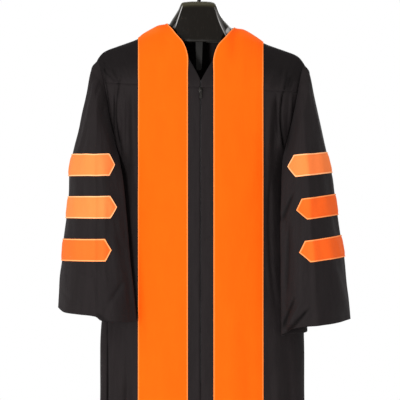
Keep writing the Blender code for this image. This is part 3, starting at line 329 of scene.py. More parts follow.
def on_body(face, side, angle, z):
    """Points of the body's form; face is -1 at the front and 1 at the back."""
    x = side * half_width(side, z) * np.sin(angle) ** (2 / ROUNDNESS)
    depth = look_up(BODY_LEVELS, "z", "front" if face < 0 else "back", z / MM) * MM
    share = np.clip((ridge_z(x) - z) / SHOULDER_ARCH, 0.0, 1.0)
    depth = depth * np.maximum(np.cos(angle), 0.0) ** (2 / ROUNDNESS)
    depth = depth * np.sqrt(1 - (1 - share) ** 2)
    depth = depth + (front_folds(side, x, z) if face < 0 else back_flutes(side, angle, z))
    return vectors(x, face * depth, z)


def on_body_at(face, side, x, z):
    return on_body(face, side, angle_at(side * np.abs(x), z), z)


def yoke_z(side, x):
    return YOKE_Z - YOKE_SLOPE * side * x


def armhole(side, step):
    """Distance from the centre and height of the armhole at a row, whole or not."""
    high = YOKE_DROP * (1 - np.cos(np.radians(90 * np.minimum(step, YOKE_ROWS) / YOKE_ROWS)))
    rest = np.clip((step - YOKE_ROWS) / ARMHOLE_ROWS, 0, 1)
    drop = np.where(step <= YOKE_ROWS, high,
                    YOKE_DROP + (1 - YOKE_DROP) * np.sin(np.radians(90 * rest)))
    x = look_up(ARMHOLE, "drop", "x", drop) * MM
    seam = yoke_z(side, look_up(ARMHOLE, "drop", "x", np.array(YOKE_DROP)) * MM)
    tip = TIP_Z - LEAN * side
    z = np.where(drop <= YOKE_DROP, mix(tip, seam, drop / YOKE_DROP),
                 mix(seam, UNDERARM_Z, (drop - YOKE_DROP) / (1 - YOKE_DROP)))
    return x, z


def panel_z(side, row, x):
    """Rows of a body panel: 0 at the yoke seam, 6 under the arm, 7 at the hem."""
    level = armhole(side, YOKE_ROWS + np.minimum(row, ARMHOLE_ROWS))[1]
    seam = armhole(side, np.array(float(YOKE_ROWS)))[1]
    sloped = level + (yoke_z(side, x) - seam) * (UNDERARM_Z - level) / (UNDERARM_Z - seam)
    return np.where(row <= ARMHOLE_ROWS, sloped, mix(UNDERARM_Z, HEM_Z, row - ARMHOLE_ROWS))


def outer_angle(side, row, z):
    edge = armhole(side, YOKE_ROWS + np.minimum(row, ARMHOLE_ROWS))[0]
    return np.where(row >= ARMHOLE_ROWS, math.pi / 2, angle_at(side * edge, z))


def panel_rows(spacing=5 * MM):
    upper = np.linspace(0, ARMHOLE_ROWS, 46)
    lower = np.linspace(ARMHOLE_ROWS, ARMHOLE_ROWS + 1, int((UNDERARM_Z - HEM_Z) / spacing))
    return np.concatenate([upper, lower[1:]])


def settled(side, rows, guess, angle_for):
    """A panel's angle and height, where each depends a little on the other."""
    x = guess
    for _ in range(ROUNDS):
        z = panel_z(side, rows, x)
        angle = angle_for(z)
        x = half_width(side, z) * np.sin(angle) ** (2 / ROUNDNESS)
    return angle, z


def front_form(side, share, row):
    """A front panel: share 0 at the zip's edge and 1 at the armhole or side seam."""
    def angle_for(z):
        inner = mix(ZIP_FOLD, 0.15 * MM, ease((ZIP_END_Z - z) / 0.05))
        return mix(angle_at(side * inner, z), outer_angle(side, row, z), share)

    angle, z = settled(side, row, VELVET_OUTER * share, angle_for)
    return on_body(-1, side, angle, z)


def back_form(share, row):
    """The back panel: share runs from -1 at one side to 1 at the other."""
    side = sides_of(share)
    angle, z = settled(side, row, VELVET_OUTER * np.abs(share),
                       lambda level: outer_angle(side, row, level) * np.abs(share))
    return on_body(1, side, angle, z)


def neck_at(column, row):
    return look_up(NECKLINE, "row", column, row) * MM


def yoke_front_form(side, share, row):
    """A front yoke: share 0 at the neckline and 1 at the armhole, row 6 at its seam."""
    down = row / YOKE_ROWS
    lean = LEAN * side * (1 - down)
    neck_x = np.maximum(neck_at("x", row) - (ZIP_EDGE - ZIP_FOLD) * ease((row - 4) / 0.9),
                        ZIP_FOLD)
    arm_x, arm_z = armhole(side, row)
    x = mix(neck_x, arm_x, share)
    z = mix(neck_at("z", row) - lean, arm_z, share)
    top_x = mix(NECKLINE[0].x * MM, armhole(side, np.array(0.0))[0], share)
    top_z = mix(NECKLINE[0].z * MM - LEAN * side, armhole(side, np.array(0.0))[1], share)
    low = yoke_z(side, x) - mix(NECKLINE[-1].z * MM, armhole(side, np.array(6.0))[1], share)
    z = z + (ridge_z(side * top_x) - top_z) * (1 - down) ** 2 + low * down ** 2
    return on_body_at(-1, side, x, np.minimum(z, ridge_z(side * x)))


def facing_form(side, share, row):
    """A velvet facing: rows 0 to 6 on the yoke, then the front panel's rows."""
    high = np.minimum(row, YOKE_ROWS)
    down = high / YOKE_ROWS
    inner_x = neck_at("velvet_x", high)
    inner_z = neck_at("velvet_z", high) - LEAN * side * (1 - down)
    top = ridge_z(np.array(side * VELVET_OUTER))
    fall = 1 - np.cos(np.radians(90 * down))
    x = mix(inner_x, VELVET_OUTER, share)
    z = mix(inner_z, mix(top, yoke_z(side, VELVET_OUTER), fall), share)
    top_x = mix(NECKLINE[0].velvet_x * MM, VELVET_OUTER, share)
    top_z = mix(NECKLINE[0].velvet_z * MM - LEAN * side, top, share)
    z = z + (ridge_z(side * top_x) - top_z) * (1 - down) ** 2
    z = np.minimum(z, ridge_z(side * x))
    z = z + (yoke_z(side, x) - mix(YOKE_Z, yoke_z(side, VELVET_OUTER), share)) * down ** 2
    below = row > YOKE_ROWS
    x = np.where(below, mix(VELVET_INNER, VELVET_OUTER, share), x)
    z = np.where(below, panel_z(side, row - YOKE_ROWS, x), z)
    return on_body_at(-1, side, x, z)


def yoke_back_form(x_top, row):
    """The back yoke: x_top is where a column starts on the shoulder line or neckline."""
    side = sides_of(x_top)
    top_x = np.abs(x_top)
    arm_x = armhole(side, row)[0]
    x = arm_x * top_x / (ARMHOLE[0].x * MM)
    neck = NECKLINE[0].x * MM
    middle = ease(1 - top_x / neck)
    top_z = np.where(top_x >= neck, ridge_z(x_top), mix(ridge_z(side * neck), BACK_NECK_Z,
                                                       middle))
    fall = np.clip(look_up(BACK_YOKE_FALL, "row", "share", row), 0, 1)
    z = np.minimum(mix(top_z, yoke_z(side, x), fall), ridge_z(side * x))
    return on_body_at(1, side, x, z)


def clear_of_body(points, side):
    """Moves a sleeve's points out, level, until they clear the body's form."""
    x, y, z = points[..., 0], points[..., 1], points[..., 2]
    wide = half_width(side, z) + SLEEVE_CLEAR
    front = look_up(BODY_LEVELS, "z", "front", z / MM)
    back = look_up(BODY_LEVELS, "z", "back", z / MM)
    deep = np.where(y < 0, front, back) * MM + SLEEVE_CLEAR
    fill = (np.abs(x) / wide) ** ROUNDNESS + (np.abs(y) / deep) ** ROUNDNESS
    grow = np.where(fill < 1, np.maximum(fill, 1e-6) ** (-1 / ROUNDNESS), 1.0)
    return vectors(x * grow, y * grow, z)


def corner_at(degrees):
    """How far across and forward a sleeve's ring reaches, with its flattened inner corner."""
    angle = np.radians(degrees)
    corner = (degrees > 90) & (degrees < 180)
    under = 0.09 * (1 - ease((degrees - 180) / 40)) * (degrees >= 180)
    across = np.where(corner, look_up(SLEEVE_CORNER, "degrees", "across", degrees),
                      np.cos(angle) + under)
    deep = np.where(corner, look_up(SLEEVE_CORNER, "degrees", "deep", degrees), np.sin(angle))
    return across, deep


def sleeve_form(side, degrees, t):
    """A sleeve: degrees 0 at its outer edge, 90 at its front; t runs from armhole to cuff."""
    degrees = np.mod(degrees, 360)
    angle = np.radians(degrees)
    step = np.where(degrees <= 180, degrees, 360 - degrees) / 15
    arm_x, arm_z = armhole(side, step)
    arm_z = np.minimum(arm_z, ridge_z(side * arm_x))
    front = on_body_at(-1, side, arm_x, arm_z)
    back = on_body_at(1, side, arm_x, arm_z)
    start = np.where((degrees <= 180)[..., None], front, back)
    inward = (1 - np.cos(angle)) / 2
    dip = look_up(CUFF_DIPS[side], "inward", "rise", inward)
    dip = np.where(degrees <= 180, dip, np.maximum(dip, 0) + 5 * np.abs(np.sin(angle)))
    cuff = (mix(CUFF_Z[side].outer, CUFF_Z[side].inner, inward)
            + dip * ease((t - 0.7) / 0.3)) * MM
    z = mix(start[..., 2], cuff, t)
    rows = SLEEVES[side]
    outer, inner, centre, half_depth, skew = (
        look_up(rows, "z", column, z / MM) * MM
        for column in ("outer", "inner", "centre", "half_depth", "skew"))
    across, deep = corner_at(degrees)
    x = side * ((outer + inner) / 2 + (outer - inner) / 2 * across)
    y = centre - half_depth * deep + skew * np.cos(angle)
    turn = 1 - (1 - np.clip(t / mix(0.045, 0.15, inward), 0, 1)) ** 2.2
    points = vectors(mix(start[..., 0], x, turn), mix(start[..., 1], y, turn), z)
    away = vectors(side * np.cos(angle), -np.sin(angle), 0 * angle)
    for fold in SLEEVE_FOLDS:
        if fold.side == side:
            near = (degrees - fold.angle) / fold.width
            grow = ease((t - fold.start) / (1 - fold.start))
            points = points + away * (fold.depth * MM * bump(near) * grow)[..., None]
    cleared = clear_of_body(points, side)
    return mix(points, cleared, ease(t / 0.05)[..., None])


def crease_depth(creases, x, z):
    """How far creases move the cloth out at each point; the ends fade, the sides are soft."""
    out = np.zeros(np.broadcast(x, z).shape)
    for crease in creases:
        start = np.array([crease.x_0, crease.z_0]) * MM
        line = np.array([crease.x_1, crease.z_1]) * MM - start
        length = np.hypot(*line)
        line = line / length
        along = ((x - start[0]) * line[0] + (z - start[1]) * line[1]) / length
        bow = crease.bow * MM * 4 * np.clip(along, 0, 1) * (1 - np.clip(along, 0, 1))
        across = (x - start[0]) * line[1] - (z - start[1]) * line[0] + bow * np.sign(line[1])
        ends = ease((along + 0.12) / 0.35) * ease((1.12 - along) / 0.35)
        width = crease.width * MM * (0.75 + 0.5 * np.clip(along, 0, 1))
        out += crease.depth * MM * ends * bump(across / width) ** 1.3
    return out


def ripple(a, b, seed, size):
    """Soft unevenness of hanging cloth: a few crossed waves, the long way mostly down."""
    random = np.random.default_rng(seed)
    out = np.zeros(np.broadcast(a, b).shape)
    for _ in range(9):
        wide = random.uniform(0.035, 0.11)
        tall = random.uniform(0.18, 0.6)
        phases = random.uniform(0, 2 * math.pi, 3)
        sway = 0.012 * np.sin(2 * math.pi * b / tall * 0.7 + phases[2])
        out += (np.sin(2 * math.pi * (a + sway) / wide + phases[0])
                * np.sin(2 * math.pi * b / tall + phases[1]))
    return out * size / 3


def unit(directions):
    return directions / np.maximum(np.linalg.norm(directions, axis=-1, keepdims=True), 1e-12)


def outward(points, normals, inside):
    """The same normals, all turned so that on the whole they point away from inside."""
    return normals if np.sum(normals * (points - inside)) > 0 else -normals


def normals_of(points, inside, tube=False):
    """Unit normals of a grid of points, away from inside."""
    if tube:
        across = np.roll(points, -1, axis=1) - np.roll(points, 1, axis=1)
    else:
        across = np.gradient(points, axis=1)
    normals = np.cross(across, np.gradient(points, axis=0))
    flat = np.linalg.norm(normals, axis=-1) < 1e-13
    normals = unit(normals)
    normals[flat] = (0, 0, 1)
    return outward(points, normals, inside)


def moved_out(points, inside, height):
    """Points moved along their normals, and the normals that they have then."""
    points = points + normals_of(points, inside) * height[..., None]
    return points, normals_of(points, inside)


def grid(down, across):
    return np.broadcast_arrays(down[:, None], across[None, :])


def into_scene(name, data):
    item = bpy.data.objects.new(name, data)
    bpy.context.scene.collection.objects.link(item)
    return item


def link(name, mesh, finish):
    """An object from a finished mesh, smoothly shaded, in one material."""
    mesh.materials.clear()
    mesh.materials.append(finish)
    mesh.shade_smooth()
    return into_scene(name, mesh)


def cloth(name, outer, normals, thickness, finish, tube=False, shift=GOWN_X, shade=None):
    """A thin closed shell from the grid of its outer face, with lengths along it as UVs.

    shade is how far each point takes its material's other colour, from 0 to 1: on velvet a
    painted highlight along its edges, on the gown's cloth painted shade in sharp creases and
    on the front yokes' tops, on plastic a painted lit band on the top, in a dust colour.
    It returns the object and the grid."""
    outer = outer + np.array([shift, 0, 0])
    inner = outer - normals * thickness
    rows, columns = outer.shape[:2]
    spans = columns if tube else columns - 1
    index = np.arange(rows * columns).reshape(rows, columns)
    u_index = np.arange(spans)
    w_index = (u_index + 1) % columns
    upper, lower = index[:-1], index[1:]
    quads = np.stack([upper[:, u_index], upper[:, w_index], lower[:, w_index],
                      lower[:, u_index]], axis=-1).reshape(-1, 4)
    side = rows * columns
    faces = [quads, quads[:, ::-1] + side]
    rims = [(index[0][u_index], index[0][w_index], 1),
            (index[-1][u_index], index[-1][w_index], -1)]
    if not tube:
        rims += [(upper[:, 0], lower[:, 0], -1), (upper[:, -1], lower[:, -1], 1)]
    for start, end, way in rims:
        rim = np.stack([end, start, start + side, end + side], axis=-1)
        faces.append(rim[:, ::way])
    faces = np.concatenate(faces)
    points = np.concatenate([outer.reshape(-1, 3), inner.reshape(-1, 3)])

    # The winding is set by comparing one face with the normals it was built from
    p = points[quads[len(quads) // 2]]
    if np.dot(np.cross(p[1] - p[0], p[2] - p[0]),
              normals.reshape(-1, 3)[quads[len(quads) // 2][0]]) < 0:
        faces = faces[:, ::-1]

    mesh = bpy.data.meshes.new(name)
    mesh.vertices.add(len(points))
    mesh.vertices.foreach_set("co", points.ravel())
    mesh.loops.add(faces.size)
    mesh.loops.foreach_set("vertex_index", faces.ravel().astype(np.int32))
    mesh.polygons.add(len(faces))
    mesh.polygons.foreach_set("loop_start", np.arange(0, faces.size, 4, dtype=np.int32))
    mesh.update(calc_edges=True)
    mesh.validate()

    steps_u = np.linalg.norm(np.diff(outer, axis=1), axis=-1).mean(axis=0)
    steps_v = np.linalg.norm(np.diff(outer, axis=0), axis=-1).mean(axis=1)
    u = np.concatenate([[0], np.cumsum(steps_u)])
    v = np.concatenate([[0], np.cumsum(steps_v)])
    uv = np.stack(np.meshgrid(u, v), axis=-1).reshape(-1, 2)
    uv = np.concatenate([uv, uv])
    layer = mesh.uv_layers.new(name="cloth")
    loops = np.empty(len(mesh.loops), np.int32)
    mesh.loops.foreach_get("vertex_index", loops)
    layer.data.foreach_set("uv", uv[loops].ravel())
    if shade is not None:
        attribute = mesh.attributes.new("shade", "FLOAT", "POINT")
        attribute.data.foreach_set("value", np.tile(np.ravel(shade), 2).astype(np.float32))
    return link(name, mesh, finish), outer


class Value:
    """A shader socket that Python arithmetic turns into Math nodes."""

    def __init__(self, graph, socket):
        self.graph = graph
        self.socket = socket

    def math(self, operation, *others):
        node = self.graph.tree.nodes.new("ShaderNodeMath")
        node.operation = operation
        for slot, value in zip(node.inputs, (self, *others)):
            self.graph.feed(slot, value)
        return Value(self.graph, node.outputs[0])

    def __add__(self, other):
        return self.math("ADD", other)

    def __sub__(self, other):
        return self.math("SUBTRACT", other)

    def __mul__(self, other):
        return self.math("MULTIPLY", other)

    def __truediv__(self, other):
        return self.math("DIVIDE", other)

    def __rsub__(self, other):
        return self.math("MULTIPLY", -1.0).math("ADD", other)

    __radd__ = __add__
    __rmul__ = __mul__

    def sine(self):
        return self.math("SINE")

    def power(self, other):
        return self.math("POWER", other)

    def limited(self, low=0.0, high=1.0):
        return self.math("MAXIMUM", low).math("MINIMUM", high)


class Graph:
    """One material's node tree, with its Principled shader at the end."""

    def __init__(self, name):
        self.material = bpy.data.materials.new(name)
        self.material.use_nodes = True
        self.tree = self.material.node_tree
        self.shader = self.tree.nodes["Principled BSDF"]

    def feed(self, slot, value):
        if isinstance(value, Value):
            self.tree.links.new(value.socket, slot)
        else:
            slot.default_value = value

    def add(self, kind, settings=None, output=0, **inputs):
        node = self.tree.nodes.new(kind)
        for name, value in (settings or {}).items():
            setattr(node, name, value)
        for name, value in inputs.items():
            self.feed(node.inputs[name.replace("_", " ")], value)
        return Value(self, node.outputs[output])

    def uv(self):
        return self.add("ShaderNodeUVMap", {"uv_map": "cloth"})

    def place(self):
        return self.add("ShaderNodeTexCoord", output="Object")

    def shade(self):
        return self.add("ShaderNodeAttribute", {"attribute_name": "shade"}, output="Fac")

    def stretch(self, vector, by):
        node = self.tree.nodes.new("ShaderNodeVectorMath")
        node.operation = "MULTIPLY"
        self.feed(node.inputs[0], vector)
        node.inputs[1].default_value = by
        return Value(self, node.outputs[0])

    def noise(self, vector, scale, detail=2.0, roughness=0.5):
        return self.add("ShaderNodeTexNoise", output="Fac", Vector=vector, Scale=scale,
                        Detail=detail, Roughness=roughness)

    def axes(self, vector):
        node = self.tree.nodes.new("ShaderNodeSeparateXYZ")
        self.feed(node.inputs[0], vector)
        return [Value(self, output) for output in node.outputs]

    def blend(self, share, first, second):
        node = self.tree.nodes.new("ShaderNodeMix")
        node.data_type = "RGBA"
        self.feed(node.inputs[0], share)
        for slot, colour in ((node.inputs[6], first), (node.inputs[7], second)):
            self.feed(slot, colour if isinstance(colour, Value) else (*colour, 1.0))
        return Value(self, node.outputs[2])

    def raised(self, height, distance, strength=1.0, below=None):
        inputs = {"Height": height, "Distance": distance, "Strength": strength}
        if below is not None:
            inputs["Normal"] = below
        return self.add("ShaderNodeBump", **inputs)

    def finish(self, **inputs):
        for name, value in inputs.items():
            self.feed(self.shader.inputs[name.replace("_", " ")], value)
        return self.material


def gown_cloth():
    """Black matt polyester: a fine plain weave, faint drag lines and a dusty sheen."""
    g = Graph("black gown cloth")
    uv = g.uv()
    u, v, _ = g.axes(uv)
    threads = (u * (2 * math.pi / 0.0006)).sine() * (v * (2 * math.pi / 0.0007)).sine()
    drag = g.noise(g.stretch(uv, (70.0, 11.0, 1.0)), 1.0, 3.0, 0.55)
    puckers = g.noise(g.stretch(uv, (26.0, 17.0, 1.0)), 1.0, 4.0, 0.6)
    dust = g.noise(g.place(), 320.0, 2.0, 0.6)
    tone = (drag * 0.6 + puckers * 0.5 + dust * 0.25 - 0.2).limited()
    colour = g.blend(tone, (0.0060, 0.0046, 0.0047), (0.0126, 0.0100, 0.0103))
    # Painted shade: near black where the shade attribute marks sharp creases and yoke tops
    colour = g.blend((g.shade() * 0.75).limited(), colour, (0.0010, 0.0007, 0.0007))
    slow = g.raised(puckers, 0.0026)
    lines = g.raised(drag, 0.0012, 1.0, slow)
    weave = g.raised(threads, 0.00006, 0.6, lines)
    return g.finish(Base_Color=colour, Roughness=0.66 + puckers * 0.14, Normal=weave,
                    Specular_IOR_Level=0.05, Sheen_Weight=0.014, Sheen_Roughness=0.40,
                    Sheen_Tint=(0.90, 0.78, 0.80, 1.0))


def velvet(name, deep, bright, edge):
    """Short-pile velvet, its nap uneven, with a painted highlight in its paler edge colour."""
    g = Graph(name)
    place = g.place()
    brushed = g.noise(g.stretch(g.uv(), (34.0, 12.0, 1.0)), 1.0, 3.0, 0.55)
    patches = g.noise(place, 16.0, 2.0, 0.5)
    pile = g.noise(place, 1500.0, 2.0, 0.7)
    tone = (brushed * 0.5 + patches * 0.35 + pile * 0.4 - 0.15).limited()
    # Painted highlight: the paler edge colour wherever the shade attribute is set
    turned = (g.shade() * (0.6 + pile * 0.5)).limited()
    colour = g.blend(turned, g.blend(tone, deep, bright), edge)
    slow = g.raised(brushed, 0.0009)
    fine = g.raised(pile, 0.00022, 0.8, slow)
    return g.finish(Base_Color=colour, Roughness=0.78 + pile * 0.12, Normal=fine,
                    Specular_IOR_Level=0.06, Sheen_Weight=0.12, Sheen_Roughness=0.35,
                    Sheen_Tint=(1.0, 0.42, 0.14, 1.0))


def thread(name, dark, light, shine=1.0):
    g = Graph(name)
    twist = g.noise(g.place(), 2600.0, 1.0, 0.5)
    return g.finish(Base_Color=g.blend(twist, dark, light), Roughness=0.55 + twist * 0.2,
                    Specular_IOR_Level=0.3 * shine, Sheen_Weight=0.2 * shine)


def gloss_plastic():
    """Black polystyrene: flow marks, scuffs, painted highlights and a painted lit dusty top."""
    g = Graph("black moulded plastic")
    place = g.place()
    x, y, z = g.axes(place)
    flow = g.noise(g.stretch(place, (14.0, 14.0, 40.0)), 1.0, 3.0, 0.6)
    scuffs = g.noise(g.stretch(place, (220.0, 220.0, 60.0)), 1.0, 4.0, 0.7)
    worn = ((scuffs - 0.56) * 7.0).limited()
    colour = g.blend(worn, (0.0030, 0.0021, 0.0012), (0.0062, 0.0048, 0.0032))
    front = (y * -200.0 - 1.0).limited()

    # Painted highlights: pale streaks along the left and right ridges, and a painted glint
    left = (x - z * 0.3346 + 0.0145).math("ABSOLUTE")
    left = (1.35 - left * 900.0).limited() * ((z + 0.134) * 90.0).limited()
    left = left * ((-0.075 - z) * 200.0).limited() * (0.45 + flow * 0.9)

    down = -0.0786 - z
    off = x - down * 0.163 - down * down * 2.83 - 0.039
    thin = (1.25 - off.math("ABSOLUTE") * 800.0).limited() * (down * 14.0).limited(0.0, 0.6)
    wide = (1.0 - (off - 0.003).math("ABSOLUTE") * 170.0).limited() * 0.16
    across = (x - z * 0.5 - 0.1405) * 190.0
    along = (z + x * 0.3 + 0.1160) * 110.0
    painted_glint = (1.5 - across * across - along * along).limited()
    right = (thin + wide) * (down * 120.0).limited() + painted_glint * 0.8
    # The pale colour here is the painted highlight on those streaks and that glint
    painted_streaks = ((left + right) * front).limited()
    colour = g.blend(painted_streaks, colour, (0.30, 0.29, 0.28))

    # Painted light: faces that look up take a pale dust colour, a painted lit band; it is
    # rougher too
    dusty = g.shade()
    colour = g.blend(dusty * (0.55 + scuffs * 0.5), colour, (0.030, 0.026, 0.011))
    lower_bead = ((-0.158 - z) * 150.0).limited()
    roughness = 0.10 + worn * 0.08 + dusty * 0.3 + lower_bead * 0.35
    return g.finish(Base_Color=colour, Roughness=roughness, Specular_IOR_Level=0.12,
                    Normal=g.raised(flow, 0.0003, 0.35))


def metal(name, colour, roughness):
    g = Graph(name)
    place = g.place()
    grain = g.noise(g.stretch(place, (900.0, 900.0, 90.0)), 1.0, 3.0, 0.6)
    spots = g.noise(place, 190.0, 3.0, 0.6)
    tint = g.blend(spots, colour, tuple(0.75 * c for c in colour))
    return g.finish(Base_Color=tint, Roughness=roughness + grain * 0.14, Metallic=1.0,
                    Normal=g.raised(grain, 0.00004, 0.5))


def plain_plastic(name, colour):
    g = Graph(name)
    grain = g.noise(g.place(), 700.0, 3.0, 0.6)
    tint = g.blend(grain, colour, tuple(1.8 * c for c in colour))
    return g.finish(Base_Color=tint, Roughness=0.38 + grain * 0.2,
                    Normal=g.raised(grain, 0.00006, 0.6))


def tape_cloth():
    """The zip's woven tape, ribbed across."""
    g = Graph("zip tape weave")
    u, v, _ = g.axes(g.uv())
    ribs = (v * (2 * math.pi / 0.0011)).sine() + (u * (2 * math.pi / 0.0009)).sine() * 0.5
    tone = (ribs * 0.2 + 0.5).limited()
    return g.finish(Base_Color=g.blend(tone, (0.006, 0.006, 0.007), (0.020, 0.019, 0.020)),
                    Roughness=0.7 + tone * 0.1, Normal=g.raised(ribs, 0.0002, 0.7))


def floor_finish():
    g = Graph("pale studio floor")
    mottle = g.noise(g.place(), 3.0, 4.0, 0.5)
    return g.finish(Base_Color=g.blend(mottle, (0.80, 0.80, 0.80), (0.84, 0.84, 0.84)),
                    Roughness=0.7 + mottle * 0.1)


def grooves(creases, points):
    """How deep each point lies in a sharp crease, from 0 to 1, as a mask for painted shade."""
    sharp = [crease for crease in creases if crease.width < 9 and crease.depth < 0]
    return np.clip(-crease_depth(sharp, points[..., 0], points[..., 2]) / (5 * MM), 0, 1)


def front_bumps(points):
    """Creases and unevenness of the fronts and front yokes."""
    x, z = points[..., 0], points[..., 2]
    clear = ease((np.abs(x) - VELVET_OUTER - 3 * MM) / (14 * MM))
    near_zip = ease((VELVET_INNER - 6 * MM - np.abs(x)) / (10 * MM))
    soft = ripple(x, z, 11, 1.1 * MM)
    return (crease_depth(FRONT_CREASES, x, z) + soft * clear
            + np.clip(soft, -0.3 * MM, 0.3 * MM) * near_zip)


def front_panel(side, word, finish):
    rows, share = grid(panel_rows(), np.linspace(0, 1, 96))
    form = front_form(side, share, rows)
    still = ease(rows / 0.25) * ease((1 - share) / 0.04)
    form, normals = moved_out(form, FRONT_INSIDE, front_bumps(form) * still)
    # The shade attribute paints shade into the sharp creases
    return cloth(f"front_panel_{word}", form + normals * CLOTH, normals, SHELL, finish,
                 shade=grooves(FRONT_CREASES, form))


def front_yoke(side, word, finish):
    rows, share = grid(np.linspace(0, YOKE_ROWS, 44), np.linspace(0, 1, 60))
    form = yoke_front_form(side, share, rows)
    still = ease((YOKE_ROWS - rows) / 0.6) * ease(rows / 1.5) * ease((1 - share) / 0.06)
    form, normals = moved_out(form, FRONT_INSIDE, front_bumps(form) * still)
    # Painted shade: the front yoke darker towards its top, which tilts up from the light
    upper = 0.75 * ease((YOKE_ROWS - rows) / 2.5)
    return cloth(f"yoke_panel_{word}", form + normals * CLOTH, normals, SHELL, finish,
                 shade=grooves(FRONT_CREASES, form) + upper)


def back_panel(finish):
    rows, share = grid(panel_rows(7 * MM), np.linspace(-1, 1, 220))
    form = back_form(share, rows)
    soft = ripple(form[..., 0], form[..., 2], 23, 1.2 * MM)
    still = ease(rows / 0.5) * ease((1 - np.abs(share)) / 0.02)
    form, normals = moved_out(form, BACK_INSIDE, soft * still)
    return cloth("back_panel", form + normals * CLOTH, normals, SHELL, finish)


def back_yoke(finish):
    shoulder = ARMHOLE[0].x * MM
    rows, x_top = grid(np.linspace(0, YOKE_ROWS, 44), np.linspace(-shoulder, shoulder, 120))
    form = yoke_back_form(x_top, rows)
    still = ease((YOKE_ROWS - rows) / 0.6) * ease(rows - VELVET_NECK_ENDS[0].row)
    bumps = crease_depth(BACK_CREASES, form[..., 0], form[..., 2])
    form, normals = moved_out(form, BACK_INSIDE, bumps * still)
    return cloth("yoke_panel_back", form + normals * CLOTH, normals, SHELL, finish)


def edge_profile(distance, top):
    """How high a turned and stitched edge stands at a distance in from it."""
    round_edge = np.sqrt(1 - (1 - np.clip(distance / (1.4 * MM), 0, 1)) ** 2)
    stitched = bump((distance - 3.2 * MM) / (1.5 * MM)) * 0.55 * MM
    puff = 0.5 * MM * ease((distance - 4 * MM) / (14 * MM))
    return top * round_edge - stitched + puff


def even_with_edges(count, width, fine=6 * MM):
    """Shares from 0 to 1 that lie closer together within the first and last few millimetres."""
    edge = fine / width
    steps = np.linspace(0, 1, 9) ** 1.3 * edge
    middle = np.linspace(edge, 1 - edge, count)
    return np.concatenate([steps[:-1], middle, (1 - steps[::-1])[1:]])


def facing(side, word, finish):
    """A velvet facing from the shoulder down to the hem, its long edges turned under."""
    width = VELVET_OUTER - VELVET_INNER
    rows = np.concatenate([np.linspace(0, YOKE_ROWS, 44), YOKE_ROWS + panel_rows()[1:]])
    rows, share = grid(rows, even_with_edges(26, width))
    form = facing_form(side, share, rows)
    from_edge = np.minimum(share, 1 - share) * width
    lift = CLOTH + edge_profile(from_edge, 1.5 * MM)
    soft = ripple(form[..., 0], form[..., 2], 31 + side, 0.55 * MM)
    lift = lift + (soft + 0.4 * MM) * ease((from_edge - 4 * MM) / (20 * MM))
    lift = lift + VELVET_ON_SEAMS * ease(YOKE_ROWS - rows)
    outer, normals = moved_out(form, FRONT_INSIDE, lift)
    # Painted sheen: paler along both long edges, and towards the outer edge over the shoulder
    painted_shoulder_sheen = 0.22 * ease((1.8 - rows) / 1.8) * ease((share - 0.1) / 0.5)
    shade = np.maximum(bump((from_edge - 0.9 * MM) / (2.2 * MM)), painted_shoulder_sheen)
    return cloth(f"velvet_facing_{word}", outer, normals, SHELL, finish, shade=shade)


def neck_velvet(finish):
    """The velvet round the back of the neck, from one facing's shoulder to the other's."""
    columns = even_with_edges(90, 2 * VELVET_OUTER) * 2 * VELVET_OUTER - VELVET_OUTER
    down, x_top = grid(even_with_edges(16, VELVET_NECK_WIDTH), columns)
    ends = np.minimum(look_up(VELVET_NECK_ENDS, "x", "row", np.abs(x_top) / MM), 4)
    form = yoke_back_form(x_top, down * ends)
    normals = normals_of(form, BACK_INSIDE)
    from_edge = np.minimum(down, 1 - down) * VELVET_NECK_WIDTH
    lift = CLOTH + VELVET_ON_SEAMS + edge_profile(from_edge, 1.5 * MM)
    # Painted highlight: paler along both edges
    shade = bump((from_edge - 0.9 * MM) / (2.2 * MM))
    return cloth("velvet_neck", form + normals * lift[..., None], normals, SHELL, finish,
                 shade=shade)


def sleeve_bumps(side, degrees, points, t):
    front = ease(np.sin(np.radians(degrees)) * 1.6)
    back = ease(-np.sin(np.radians(degrees)) * 1.6)
    x, z = points[..., 0], points[..., 2]
    out = crease_depth(SLEEVE_CREASES, x, z) * front
    out = out + crease_depth(SLEEVE_BACK_CREASES, x, z) * back
    round_the_arm = np.radians(np.mod(degrees, 360)) * 0.1
    soft = ripple(round_the_arm, z, 41 + side, 1.5 * MM) * (0.4 + 0.6 * (front + back))
    return (out + soft) * ease(t / 0.04)


def sleeve_centre(side, form):
    return vectors(side * 0.26, -0.02, form[..., 2] - 0.02)


def dressed_sleeve(side, degrees, t):
    """The sleeve's form with its creases, as points and normals."""
    form = sleeve_form(side, degrees, t)
    near = 0.4
    around = sleeve_form(side, degrees + near, t) - sleeve_form(side, degrees - near, t)
    step = 0.004
    down = (sleeve_form(side, degrees, np.clip(t + step, 0, 1))
            - sleeve_form(side, degrees, np.clip(t - step, 0, 1)))
    normals = outward(form, unit(np.cross(around, down)), sleeve_centre(side, form))
    return form + normals * sleeve_bumps(side, degrees, form, t)[..., None], normals


